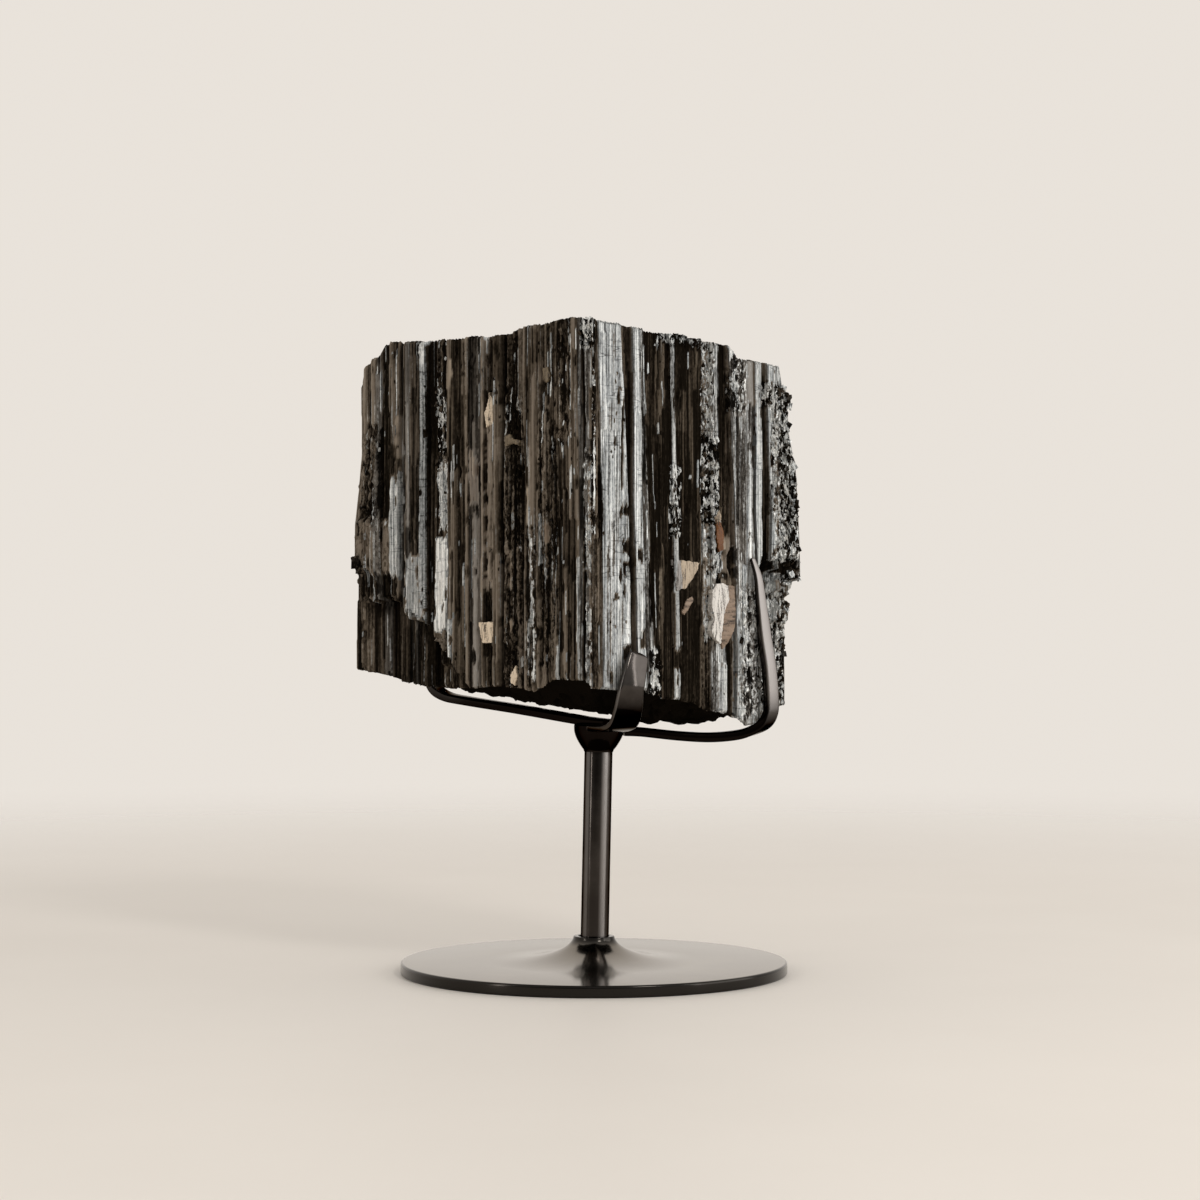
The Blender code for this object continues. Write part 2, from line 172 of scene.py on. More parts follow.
class Recipe:
    """One node tree, with the nodes added by name."""

    def __init__(self, tree):
        self.tree = tree
        self.tree.nodes.clear()

    def node(self, kind, settings=None, values=None, output=0):
        made = self.tree.nodes.new(kind)
        for name, value in (settings or {}).items():
            if name == "stops":
                self._fill_ramp(made.color_ramp, value)
            else:
                setattr(made, name, value)
        for name, value in (values or {}).items():
            self.feed(made.inputs[name], value)
        return Wire(self, made.outputs[output] if made.outputs else None)

    def feed(self, socket, value):
        if isinstance(value, Wire):
            self.tree.links.new(value.socket, socket)
        else:
            socket.default_value = value

    def _fill_ramp(self, ramp, stops):
        while len(ramp.elements) < len(stops):
            ramp.elements.new(0.5)
        for element, (position, colour) in zip(ramp.elements, stops):
            element.position = position
            element.color = (*colour, 1.0)

    def ramp(self, value, *stops):
        return self.node("ShaderNodeValToRGB", {"stops": stops}, {"Fac": value})

    def mix(self, share, first, second):
        """Colour first where share is 0 and second where it is 1."""
        first, second = ((*c, 1.0) if isinstance(c, tuple) else c for c in (first, second))
        return self.node(
            "ShaderNodeMix", {"data_type": "RGBA"}, {"Factor": share, 6: first, 7: second}, output=2
        )

    def place(self, stretch):
        """Position on the piece in metres, stretched along each axis."""
        spot = self.node("ShaderNodeTexCoord", output=3)
        return self.node("ShaderNodeVectorMath", {"operation": "MULTIPLY"}, {0: spot, 1: stretch})

    def length(self, vector):
        return self.node("ShaderNodeVectorMath", {"operation": "LENGTH"}, {0: vector}, output=1)

    def attribute(self, name, output=0):
        """A colour that the mesh carries, or a single amount with output 2."""
        return self.node("ShaderNodeAttribute", {"attribute_name": name}, output=output)

    def noise(self, place, scale, detail=2.0, roughness=0.5):
        values = {"Vector": place, "Scale": scale, "Detail": detail, "Roughness": roughness}
        return self.node("ShaderNodeTexNoise", {}, values)

    def cells(self, stretch, scale, output=0):
        """Distance to the middle of the nearest cell, or its colour with output 1."""
        values = {"Vector": self.place(stretch), "Scale": scale}
        return self.node("ShaderNodeTexVoronoi", {"feature": "F1"}, values, output)

    def parts(self, colour):
        """The red, green and blue of a colour."""
        red = self.node("ShaderNodeSeparateColor", {}, {"Color": colour})
        return red, red.sibling(1), red.sibling(2)

    def bump(self, height, strength, distance, under=None):
        values = {"Height": height, "Strength": strength, "Distance": distance}
        if under is not None:
            values["Normal"] = under
        return self.node("ShaderNodeBump", {}, values)


def finish(name, constants, varying):
    """A Principled material. varying gets the recipe and returns what changes over the surface."""
    material = bpy.data.materials.new(name)
    material.use_nodes = True
    recipe = Recipe(material.node_tree)
    shader = recipe.node("ShaderNodeBsdfPrincipled", {}, {**constants, **varying(recipe)})
    recipe.node("ShaderNodeOutputMaterial", {}, {"Surface": shader})
    return material


print("a recipe has:", ", ".join(name for name in vars(Recipe) if name[0] != "_"))

# %% [markdown]
# ## The floor
# The stand sits on a pale board with a very faint mottle. A board that simply ended would show a hard
# line behind the stand, so further out this one turns clear and melts into the cream of the wall. A
# Mix Shader does the fading, by the distance from the stand.

# %% Floor
CREAM = (0.815, 0.765, 0.705)
BOARD_TONES = ((0.82, 0.77, 0.71), (0.86, 0.81, 0.75))
BOARD_ROUGHNESS = 0.55
BOARD_MOTTLE = 9.0  # scale of the noise
FLOOR_REACH = 1.5  # metres from the stand to the floor's edge
FADE_START, FADE_END = 0.35, 1.4


def floor_material():
    material = bpy.data.materials.new("pale_floor")
    material.use_nodes = True
    recipe = Recipe(material.node_tree)
    spot = recipe.place((1, 1, 0))
    away = recipe.length(spot)
    colour = recipe.mix(recipe.noise(spot, BOARD_MOTTLE, 4.0), *BOARD_TONES)
    board = {"Base Color": colour, "Roughness": BOARD_ROUGHNESS}
    sheet = recipe.node("ShaderNodeBsdfPrincipled", {}, board)
    clear = recipe.node("ShaderNodeBsdfTransparent")
    share = away.rise(FADE_START, FADE_END)
    both = recipe.node("ShaderNodeMixShader", {}, {0: share, 1: sheet, 2: clear})
    recipe.node("ShaderNodeOutputMaterial", {}, {"Surface": both})
    return material


def make_floor():
    bm = bmesh.new()
    bmesh.ops.create_circle(bm, cap_ends=True, segments=96, radius=FLOOR_REACH)
    mesh = mesh_of(bm, "floor")
    mesh.materials.append(floor_material())
    floor = bpy.data.objects.new("floor", mesh)
    bpy.context.scene.collection.objects.link(floor)


make_floor()
print("floor fades from", FADE_START, "to", FADE_END, "m")

# %% [markdown]
# ## The room
# A dark glossy thing is mostly a picture of what stands round it, so the room matters more than the
# lamps. A picture of a studio could stand round it, but four soft glows are enough, and each can be
# moved alone: behind the stand, to its right, to its left and overhead. A glow's strength is the dot
# product of the direction looked in and the direction it comes from. The camera itself sees a plain
# cream wall.

# %% Room
SKY_SIDES = [  # direction, colour, strength, how tightly it gathers
    ((0, 1, 0.05), (1.0, 0.94, 0.87), 0.80, 1.0),
    ((1, -0.5, 0.1), (1.0, 0.99, 0.97), 0.50, 3.0),
    ((-1, 0.0, 0.1), (1.0, 0.95, 0.89), 0.62, 3.0),
    ((0, -0.2, 1), (1.0, 0.98, 0.95), 0.50, 1.5),
]
SKY_FLOOR = (0.085, 0.078, 0.070)
BLACK = (0.0, 0.0, 0.0)


def make_room():
    world = bpy.data.worlds.new("room")
    world.use_nodes = True
    recipe = Recipe(world.node_tree)
    direction = recipe.node("ShaderNodeTexCoord", output=0)
    glow = recipe.mix(0.0, SKY_FLOOR, SKY_FLOOR)
    for way, colour, strength, tightness in SKY_SIDES:
        toward = {0: direction, 1: Vector(way).normalized()}
        facing = recipe.node("ShaderNodeVectorMath", {"operation": "DOT_PRODUCT"}, toward, output=1)
        part = recipe.mix(facing.at_least(0.0) ** tightness * strength, BLACK, colour)
        glow = recipe.node("ShaderNodeVectorMath", {"operation": "ADD"}, {0: glow, 1: part})
    seen = recipe.node("ShaderNodeLightPath", output=0)
    wall = {"Color": recipe.mix(seen, glow, CREAM), "Strength": 1.0}
    sky = recipe.node("ShaderNodeBackground", {}, wall)
    recipe.node("ShaderNodeOutputWorld", {}, {"Surface": sky})
    bpy.context.scene.world = world


make_room()
print("glows in the room:", len(SKY_SIDES))

# %% [markdown]
# ## Soft boxes
# Four area lamps add the highlights. A large window on the right lights the silvery crystals, and a
# thin strip beside it draws a crisp line on the steel. A small key lamp high in front gives the floor
# its soft shadow, and a narrow strip on the left picks out the ribs there. The camera sees none of them.

# %% Soft boxes
STONE_MIDDLE = Vector((0, 0, 0.2))
SoftBox = namedtuple("SoftBox", "name place width height watts colour")
SOFT_BOXES = (
    SoftBox("window", (1.5, -0.12, 0.45), 1.1, 1.1, 7.0, (1.0, 0.99, 0.98)),
    SoftBox("window_edge", (1.26, -0.67, 0.45), 0.09, 1.1, 1.8, (1.0, 1.0, 1.0)),
    SoftBox("key", (0.9, -1.3, 1.3), 0.35, 0.35, 7, (1.0, 0.98, 0.95)),
    SoftBox("left_strip", (-1.25, -0.84, 0.45), 0.12, 1.0, 3.0, (1.0, 0.98, 0.95)),
)


def add_soft_box(box):
    lamp = bpy.data.lights.new(box.name, "AREA")
    lamp.shape = "RECTANGLE"
    lamp.size = box.width
    lamp.size_y = box.height
    lamp.energy = box.watts
    lamp.color = box.colour
    made = bpy.data.objects.new(box.name, lamp)
    made.location = box.place
    made.rotation_euler = (STONE_MIDDLE - Vector(box.place)).to_track_quat("-Z", "Y").to_euler()
    made.visible_camera = False
    bpy.context.scene.collection.objects.link(made)


for box in SOFT_BOXES:
    add_soft_box(box)
print("soft boxes:", len(SOFT_BOXES))

# %% [markdown]
# ## Blackened steel
# The stand is mild steel, blackened and waxed to a satin sheen. Bare metal has a coloured reflection
# and no colour beneath it, so Metallic is 1 and the dark Base Color is the tint of the reflection. On a
# metal the Specular Tint is the colour at grazing angles, and a dark one keeps the undersides from
# mirroring the pale floor. Between two heights, round the cup, shade is painted into the steel as an
# almost black colour. On the rod's two sides and on the arms, a painted reflection lightens the steel,
# and each mesh says where in a float attribute. A little cloudiness in the roughness, as from waxing by
# hand, keeps it from looking like plastic. The spun disc also has faint rings from the lathe, which
# come from its distance to the axis, and painted shade darkens its rim and the collar round the rod.

# %% Steel finishes
STEEL_DARK = (0.034, 0.029, 0.026)
STEEL_WORN = (0.064, 0.056, 0.050)
STEEL_PAINTED_SHEEN = (0.27, 0.25, 0.237)
STEEL_PAINTED_SHADE = (0.0075, 0.0052, 0.0042)
GRAZING_TINT = (0.30, 0.28, 0.26, 1.0)
PAINTED_SHADE_BOTTOM, PAINTED_SHADE_TOP = (0.099, 0.103), (0.121, 0.129)  # heights over which the painted shade begins and ends
PAINTED_SHADE_WAVER = 0.004  # how unevenly it ends
WAX_CLOUDS = (0.35, 0.75)  # noise between which the wax thins out
DISC_DARK = (0.184, 0.164, 0.141)
DISC_LIGHT = (0.234, 0.210, 0.181)
DISC_EDGE_SHADE = (0.030, 0.027, 0.024)
RIM_FADE, COLLAR_FADE = (0.0878, 0.0886), (0.0094, 0.0125)  # radii over which painted shade darkens rim and collar


def steel_look(recipe):
    spot = recipe.place((1, 1, 1))
    clouds = recipe.noise(spot, 45.0, 4.0, 0.6)
    specks = recipe.noise(spot, 900.0, 2.0)
    height = recipe.node("ShaderNodeSeparateXYZ", {}, {0: spot}, output=2)
    # Painted shade: between two heights round the cup the steel is made almost black.
    cup_painted_shade = height.rise(*PAINTED_SHADE_BOTTOM) * (1 - (height + (clouds - 0.5) * PAINTED_SHADE_WAVER).rise(*PAINTED_SHADE_TOP))
    colour = recipe.mix(clouds.rise(*WAX_CLOUDS), STEEL_DARK, STEEL_WORN)
    colour = recipe.mix(cup_painted_shade, colour, STEEL_PAINTED_SHADE)
    # Painted reflection: a float attribute on each mesh lightens the steel where a reflection is wanted.
    rubbed = recipe.attribute("rubbed", output=2)
    rubbed = rubbed * (0.8 + clouds * 0.4).rise(0.0, 1.0)
    return {
        "Base Color": recipe.mix(rubbed, colour, STEEL_PAINTED_SHEEN),
        "Roughness": 0.08 + clouds * 0.05 + specks * 0.02 + rubbed.rise(0.0, 0.6) * 0.24,
        "Normal": recipe.bump(specks, 0.03, 0.0002),
    }


def spun_look(recipe):
    spot = recipe.place((1, 1, 0))
    clouds = recipe.noise(spot, 30.0, 4.0, 0.6)
    away = recipe.length(spot)
    along = recipe.node("ShaderNodeCombineXYZ", {}, {0: away})
    rings = recipe.noise(along, 1400.0, 2.0)
    colour = recipe.mix(clouds.rise(*WAX_CLOUDS), DISC_DARK, DISC_LIGHT)
    # Painted shade: the disc's rim and the collar round the rod are darkened.
    edge = away.rise(*RIM_FADE).at_least(1 - away.rise(*COLLAR_FADE))
    return {
        "Base Color": recipe.mix(edge, colour, DISC_EDGE_SHADE),
        "Roughness": 0.11 + clouds * 0.05 + rings * 0.05,
        "Normal": recipe.bump(rings, 0.05, 0.0002),
    }


spun_steel = finish("spun_steel", {"Metallic": 1.0}, spun_look)
waxed_steel = finish("waxed_steel", {"Metallic": 1.0, "Specular Tint": GRAZING_TINT}, steel_look)
print("steel finishes:", spun_steel.name, waxed_steel.name)

# %% [markdown]
# ## Turned pieces
# The disc, the rod and the cup are all round, and a round piece is one profile turned about its axis.
# Blender's Spin does that to the profile's edges. The profile's own corners are rounded with short arcs
# so that each edge catches a line of light, as a real edge does.

# %% Spinning a profile


def add_piece(name, mesh, material, stands_for=None, sharp=None):
    """Puts a mesh in the scene as a piece of the object."""
    piece = bpy.data.objects.new(name, mesh)
    bpy.context.scene.collection.objects.link(piece)
    mesh.materials.append(material)
    if sharp is not None:
        mesh.shade_smooth()
        mesh.set_sharp_from_angle(angle=math.radians(sharp))
    if stands_for:
        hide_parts(stands_for)
    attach(piece, "root")
    return piece


def spun(name, node, profile, steps, material, lean=0.0, sharp=35):
    """Turns a list of (radius, height) points, in metres, about the Z axis, and leans the result."""
    bm = bmesh.new()
    verts = [bm.verts.new((r, 0, z)) for r, z in profile]
    edges = [bm.edges.new(pair) for pair in zip(verts, verts[1:])]
    bmesh.ops.spin(
        bm, geom=verts + edges, axis=(0, 0, 1), cent=(0, 0, 0), angle=math.tau, steps=steps,
        use_merge=True,
    )
    bmesh.ops.remove_doubles(bm, verts=bm.verts, dist=0.00001)
    bmesh.ops.recalc_face_normals(bm, faces=bm.faces)
    bmesh.ops.rotate(bm, verts=bm.verts, cent=(0, 0, 0), matrix=Euler((0, lean, 0)).to_matrix())
    return add_piece(name, mesh_of(bm, name), material, stands_for=node, sharp=sharp)


def rounded(corner, before, after, radius, count=4):
    """Points that round off a profile's corner, given its two neighbours."""
    corner, before, after = Vector(corner), Vector(before), Vector(after)
    start = corner + (before - corner).normalized() * radius
    end = corner + (after - corner).normalized() * radius
    points = []
    for k in range(count + 1):
        t = k / count
        spot = start * (1 - t) ** 2 + corner * 2 * t * (1 - t) + end * t**2
        points.append((spot.x, spot.y))
    return points


print("points round a corner:", len(rounded((1, 1), (0, 1), (1, 0), 0.5)))

# %% [markdown]
# ## The disc
# The disc is spun from one blank: a flat rim, a hollow flare that climbs to the middle like a trumpet,
# and a small collar with a blind socket for the rod. Two power curves draw the flare, and its profile
# is a short list of points, which is easier to check than a sculpted mesh.

# %% The disc
BASE_RADIUS = 89 * MM
RIM_HEIGHT = 5.5 * MM
COLLAR_RADIUS = 9.4 * MM
COLLAR_HEIGHT = 16.8 * MM
FLARE_RADIUS = 50 * MM
ROD_RADIUS = 6.5 * MM
ROD_LEAN = math.radians(1.2)
SOCKET_SLACK, SOCKET_DEPTH = 0.65 * MM, 10 * MM
SOCKET_RADIUS = ROD_RADIUS + SOCKET_SLACK
SOCKET_FLOOR = COLLAR_HEIGHT - SOCKET_DEPTH
COLLAR_STEP, RIM_DROP = 0.3 * MM, 0.1 * MM  # small falls at the collar's foot and towards the rim
SOCKET_ROUND, COLLAR_ROUND, RIM_ROUND, UNDER_ROUND = 0.4 * MM, 0.5 * MM, 1.3 * MM, 0.9 * MM
DISC_STEPS = 160
FLARE_SPANS = 24
FLARE_SPREAD, FLARE_HOLLOW = 1.6, 2.1  # powers: how the flare's points spread out and how it sags


def disc_profile():
    """Points (radius, height) from the socket's floor over the collar and the flare to the underside."""
    points = [(0, SOCKET_FLOOR), (SOCKET_RADIUS, SOCKET_FLOOR)]
    collar_edge = (COLLAR_RADIUS, COLLAR_HEIGHT)
    points += rounded((SOCKET_RADIUS, COLLAR_HEIGHT), (SOCKET_RADIUS, 0), collar_edge, SOCKET_ROUND)
    climb = COLLAR_HEIGHT - COLLAR_STEP - RIM_HEIGHT
    flare = []
    for i in range(FLARE_SPANS + 1):
        share = i / FLARE_SPANS
        radius = COLLAR_RADIUS + (FLARE_RADIUS - COLLAR_RADIUS) * share**FLARE_SPREAD
        flare.append((radius, RIM_HEIGHT + climb * (1 - share) ** FLARE_HOLLOW))
    points += rounded(collar_edge, (0, COLLAR_HEIGHT), flare[1], COLLAR_ROUND)
    points += flare[1:]
    top_edge = (BASE_RADIUS, RIM_HEIGHT - RIM_DROP)
    points += rounded(top_edge, flare[-1], (BASE_RADIUS, 0), RIM_ROUND, 6)
    points += rounded((BASE_RADIUS, 0), top_edge, (0, 0), UNDER_ROUND)
    points.append((0, 0))
    return points


stand_base = spun("stand_base", "base", disc_profile(), DISC_STEPS, spun_steel)
print("disc faces:", len(stand_base.data.polygons))

# %% [markdown]
# ## The rod and the cup
# The rod stands in the collar and leans by about a degree. The cup is a small turned bowl round the
# rod's head, and the arms spring from it. Both are spun like the disc. A painted reflection lightens the
# rod along two sides, and a turned piece has points all round, so each side is given as a span of
# angles.

# %% The rod and the cup
FOOT_GAP = 0.6 * MM  # between the rod's foot and the socket's floor
ROD_TOP = 102.6 * MM
HUB_RADIUS = 11.6 * MM
ROD_SPANS, ROD_STEPS = 8, 64
ROD_ROUND, CUP_ROUND = 0.4 * MM, 1.1 * MM
SEAM = 0.05 * MM  # between the rod and the cup's collar
ROD_SHEEN_STRIPES = ((-56, -36, 0.38), (17, 43, 0.68))  # degrees round from the front, and how bright
STRIPE_FADE = 6  # degrees over which a stripe's edge softens
HUB_TOP = 114.3 * MM
CUP_SIDE = [  # height and radius, from the cup's lip down to a thin collar round the rod's head
    (111.2, 11.5), (110.2, 11.3), (109.2, 11.0), (108.2, 10.6), (107.2, 10.1), (106.2, 9.55),
    (105.2, 8.95), (104.2, 8.3), (103.4, 7.7), (102.6, 7.05), (101.9, 6.8), (101.6, 6.72),
]


def rod_profile():
    foot = SOCKET_FLOOR + FOOT_GAP
    head = [(0, ROD_TOP)] + rounded((ROD_RADIUS, ROD_TOP), (0, ROD_TOP), (ROD_RADIUS, 0), ROD_ROUND)
    lengths = [(ROD_RADIUS, blend(ROD_TOP, foot, k / ROD_SPANS)) for k in range(1, ROD_SPANS)]
    return head + lengths + [(ROD_RADIUS, foot), (0, foot)]


def cup_profile():
    points = [(0, HUB_TOP)]
    points += rounded((HUB_RADIUS, HUB_TOP), (0, HUB_TOP), (HUB_RADIUS, 0), CUP_ROUND, 5)
    points += [(radius * MM, height * MM) for height, radius in CUP_SIDE]
    bore, ceiling = ROD_RADIUS + SEAM, ROD_TOP + SEAM
    return points + [(bore, CUP_SIDE[-1][0] * MM), (bore, ceiling), (0, ceiling)]


def paint_sheen_sides(piece, stripes):
    """Paints a reflection onto a leaning turned piece as lighter steel: between which angles, and how
    much.
    """
    rubbed = piece.data.attributes.new("rubbed", "FLOAT", "POINT")
    for i, vertex in enumerate(piece.data.vertices):
        across = vertex.co.x - vertex.co.z * math.tan(ROD_LEAN)
        angle = math.degrees(math.atan2(across, -vertex.co.y))
        for low, high, amount in stripes:
            from_low = smooth_step((angle - low) / STRIPE_FADE + 0.5)
            from_high = smooth_step((high - angle) / STRIPE_FADE + 0.5)
            rubbed.data[i].value += amount * from_low * from_high


stand_rod = spun("stand_rod", "rod", rod_profile(), ROD_STEPS, waxed_steel, ROD_LEAN)
paint_sheen_sides(stand_rod, ROD_SHEEN_STRIPES)
stand_cup = spun("stand_cup", "hub", cup_profile(), ROD_STEPS, waxed_steel, ROD_LEAN, sharp=60)
print("rod and cup height in mm:", round(stand_cup.dimensions.z / MM, 1))

# %% [markdown]
# ## Three bent arms
# Each arm is flat bar forged to a blade: it lies flat under the stone, turns up at its edge and thins
# towards a rounded tip. A smith would mark a few places along the bar and bend between them, and the
# tables do the same. A Catmull-Rom curve passes through every place it is given, so no handles have to
# be set as on a Bezier curve.

# %% Routes of the arms
LEFT_ARM = [  # x, y, z of the bar's middle, half width, half thickness
    (6.6, -3.2, 115, 4.2, 1.7), (-2, 3.3, 115.4, 4.2, 2), (-9, 8.7, 116.3, 4.2, 2.05),
    (-35, 29, 120, 4.1, 2.05), (-60, 48.6, 123.2, 4, 2.05), (-71, 57.2, 125.2, 4, 2.05),
    (-77, 62.2, 129.6, 4, 2), (-78.9, 63.9, 138, 3.9, 1.9), (-78.9, 63.9, 152, 3.5, 1.6),
    (-78.1, 63.3, 166, 2.8, 1.1),
]
FRONT_PRONG = [
    (3.2, -10.5, 113.0, 6.6, 1.5), (6.6, -21, 113.1, 6.8, 1.5), (10.2, -32, 113.9, 6.9, 1.5),
    (13.4, -43, 116.6, 6.8, 1.5), (15.2, -52.2, 123, 6.6, 1.5), (16.3, -57, 131, 6.2, 1.5),
    (17.8, -56.4, 138.2, 5.8, 1.6), (19.6, -53.6, 146.4, 5.0, 1.4),
]
RIGHT_ARM = [
    (14, 0.4, 111, 4.0, 2.15), (22, 1.6, 110.6, 4.0, 2.15), (38, 4.1, 108.8, 4.0, 2.2),
    (53, 6.6, 107.9, 4.0, 2.25), (65.6, 8.4, 108.8, 4.0, 2.25), (73, 8.9, 110.8, 4.0, 2.25),
    (78.8, 9.0, 113.9, 3.9, 2.2), (81.7, 9.0, 118.5, 3.9, 2.15), (82.2, 8.7, 125, 3.9, 2.15),
    (81.1, 7.2, 140, 3.7, 2.1), (79.0, 5.6, 155, 3.5, 1.8), (77.0, 3.5, 172, 2.7, 1.4),
    (75.8, 2.5, 182, 2.1, 1.1), (73.3, 2.1, 190, 1.3, 0.9),
]


def curve_point(points, i, t):
    """Catmull-Rom through a list of tuples, between entries i and i + 1."""
    before, after = points[max(i - 1, 0)], points[min(i + 2, len(points) - 1)]
    return [
        0.5 * (
            2 * b + (c - a) * t + (2 * a - 5 * b + 4 * c - d) * t**2
            + (3 * b - a - 3 * c + d) * t**3
        )
        for a, b, c, d in zip(before, points[i], points[i + 1], after)
    ]


print("places on the arms:", [len(rows) for rows in (LEFT_ARM, FRONT_PRONG, RIGHT_ARM)])

# %% [markdown]
# ## From route to bar
# A curve object with a bevel would give a bar of one section. These bars widen, thin and twist, so
# each is a loft: rings of points, one for every step along the route, joined by quads. Each ring keeps
# its width level with a direction that turns from the arm's foot to its tip. The same loop can then
# write down where on the bar a painted reflection lightens the steel.

# %% Lofting the arms
SPANS = 10  # sections between two known points
EDGE_SHARE = 0.6  # how much of the half thickness the rounded edges take
TIP_ANGLES = (15, 30, 45, 60, 72, 82)
# Part of the bar that each of a section's 16 points is on: 0 near edge, 1 broad faces, 2 far edge.
SHEEN_SIDES = (2, 2, 1, 1, 1, 1, 0, 0, 0, 0, 1, 1, 1, 1, 2, 2)
NO_SHEEN = ((0, 1, 0.0),) * 3
# For each of the three parts: the heights over which a painted reflection brightens it, and how bright.
PRONG_SHEEN = ((112, 114, 0.45), (122, 142, 0.06), (116, 126, 0.9))
RIGHT_SHEEN = ((0, 1, 0.0), (112, 132, 1.0), (112, 132, 1.0))


def bar_section(half_width, half_thickness):
    """A rectangle with rounded corners, anticlockwise."""
    radius = EDGE_SHARE * half_thickness
    points = []
    for quarter, (sx, sy) in enumerate(((1, 1), (-1, 1), (-1, -1), (1, -1))):
        for k in range(4):
            angle = math.radians(90 * quarter + 30 * k)
            x = sx * (half_width - radius) + radius * math.cos(angle)
            y = sy * (half_thickness - radius) + radius * math.sin(angle)
            points.append((x, y))
    return points


def bar_stations(rows, tip):
    """Places along an arm with half width and half thickness, closed by a rounded tip."""
    stations = []
    for i in range(len(rows) - 1):
        stations += [curve_point(rows, i, k / SPANS) for k in range(SPANS)]
    stations.append(list(rows[-1]))
    x, y, z, half_width, half_thickness = rows[-1]
    last = (Vector(rows[-1][:3]) - Vector(rows[-2][:3])).normalized()
    for angle in TIP_ANGLES:
        lift = last * half_width * tip * math.sin(math.radians(angle))
        narrow = math.cos(math.radians(angle))
        thin = half_thickness * (0.5 + 0.5 * narrow)
        stations.append([x + lift.x, y + lift.y, z + lift.z, half_width * narrow, thin])
    return stations


def bent_arm(name, node, rows, across_start, across_end, twist=(0, 1), tip=0.8, sheen_heights=NO_SHEEN):
    """Carries the section along the rows. Its width points along across_start at the foot and along
    across_end at the tip, and turns between the two shares of the length in twist."""
    stations = bar_stations(rows, tip)
    middles = [Vector(s[:3]) * MM for s in stations]
    bm = bmesh.new()
    rings = []
    for i, (middle, station) in enumerate(zip(middles, stations)):
        ahead = middles[min(i + 1, len(middles) - 1)] - middles[max(i - 1, 0)]
        tangent = ahead.normalized()
        turned = smooth_step((i / (len(stations) - 1) - twist[0]) / (twist[1] - twist[0]))
        across = Vector(across_start).lerp(Vector(across_end), turned)
        across = (across - tangent * across.dot(tangent)).normalized()
        up = tangent.cross(across)
        section = bar_section(*station[3:])
        rings.append([bm.verts.new(middle + across * u * MM + up * v * MM) for u, v in section])
    count = len(rings[0])
    for low, high in zip(rings, rings[1:]):
        for k in range(count):
            bm.faces.new((low[k], low[(k + 1) % count], high[(k + 1) % count], high[k]))
    bm.faces.new(rings[0][::-1])
    bm.faces.new(rings[-1])
    bmesh.ops.recalc_face_normals(bm, faces=bm.faces)
    mesh = mesh_of(bm, name)
    # Painted reflection: how much lighter the steel is painted at each point.
    rubbed = mesh.attributes.new("rubbed", "FLOAT", "POINT")
    for i, vertex in enumerate(mesh.vertices):
        low, high, amount = sheen_heights[SHEEN_SIDES[i % count]]
        rubbed.data[i].value = amount * smooth_step((vertex.co.z / MM - low) / (high - low))
    return add_piece(name, mesh, waxed_steel, stands_for=node, sharp=50)


arm_left = bent_arm("arm_left", "left_arm", LEFT_ARM, (0.616, 0.788, 0), (0.779, 0.628, 0))
arm_front = bent_arm(
    "arm_front", "front_prong", FRONT_PRONG, (0.97, 0.24, 0), (0.83, 0.56, 0), tip=0.35,
    sheen_heights=PRONG_SHEEN,
)
arm_right = bent_arm(
    "arm_right", "right_arm", RIGHT_ARM, (-0.16, 0.99, 0), (0.7108, 0.7034, 0), twist=(0.24, 0.50),
    sheen_heights=RIGHT_SHEEN,
)
print("arm faces:", [len(arm.data.polygons) for arm in (arm_left, arm_front, arm_right)])

# %% [markdown]
# ## The stone's plan
# Seen from above the block has five sides. The front corner points at the viewer, and the two fine
# faces run back from it to the left and to the right. The block could be sculpted whole, but then
# nothing on it could be measured. Here a place on a face is its distance from the face's first corner,
# its height, and how far it stands out from the flat.

# %% Corners and faces
FRONT = Vector((-1, -68))
RIGHT = Vector((96, 28))
BACK_RIGHT = Vector((50, 86))
BACK_LEFT = Vector((-48, 82))
LEFT = Vector((-110, 32))
CORNER_REACH = 24  # near a corner, a stepped face also slides along itself so that two faces still meet

Face = namedtuple("Face", "name start end turned top foot ledge step")
Strip = namedtuple("Strip", "high middle low near far tone silver grain")
BANDS = (290, 217, 143)  # heights at which a strip's outer edge is given

# Heights of the broken top and foot, and the slanting ledge under which a slab has broken away. They
# run anticlockwise round the block: (distance along the face, height).
RIGHT_TOP = [
    (0, 295.3), (12, 294.3), (25, 293.1), (40, 291.8), (56, 291.6), (69, 290), (82, 289.4),
    (94.6, 288.4), (96.4, 282.6), (103, 282.4), (109, 282.2), (117, 281.8), (126.6, 281.4),
    (127.4, 272), (131, 267.5), (137, 265),
]
RIGHT_FOOT = [
    (0, 133), (13, 131.4), (30, 131.5), (40, 126.8), (51, 126.5), (63, 124.9), (69, 122.9), (77, 120.4),
    (88, 118.3), (96, 115.3), (101, 113.4), (106, 113.6), (111, 116.7), (116, 119.3), (137, 122),
]
LEFT_TOP = [
    (0, 270.5), (1.8, 273), (2.6, 281.5), (6, 284), (9, 285.6), (12.6, 286.8), (13.6, 290.8),
    (20, 292), (38, 291), (56, 291.2), (77, 291.3), (98, 291.4), (100, 293.6), (117, 294.3),
    (124, 295.4), (135, 296.2), (148, 295.3),
]
LEFT_FOOT = [
    (0, 138.6), (8, 136.6), (17, 134), (29, 132.4), (40, 131.2), (57, 130.6), (76, 131.5), (92, 132.3),
    (105, 131.7), (114, 130.5), (120, 133.8), (123, 136), (144, 136.2), (148, 133),
]
LEFT_LEDGE = [(0, 173), (25, 171), (31, 166), (46, 158.5), (54, 151), (62, 141), (68, 135)]
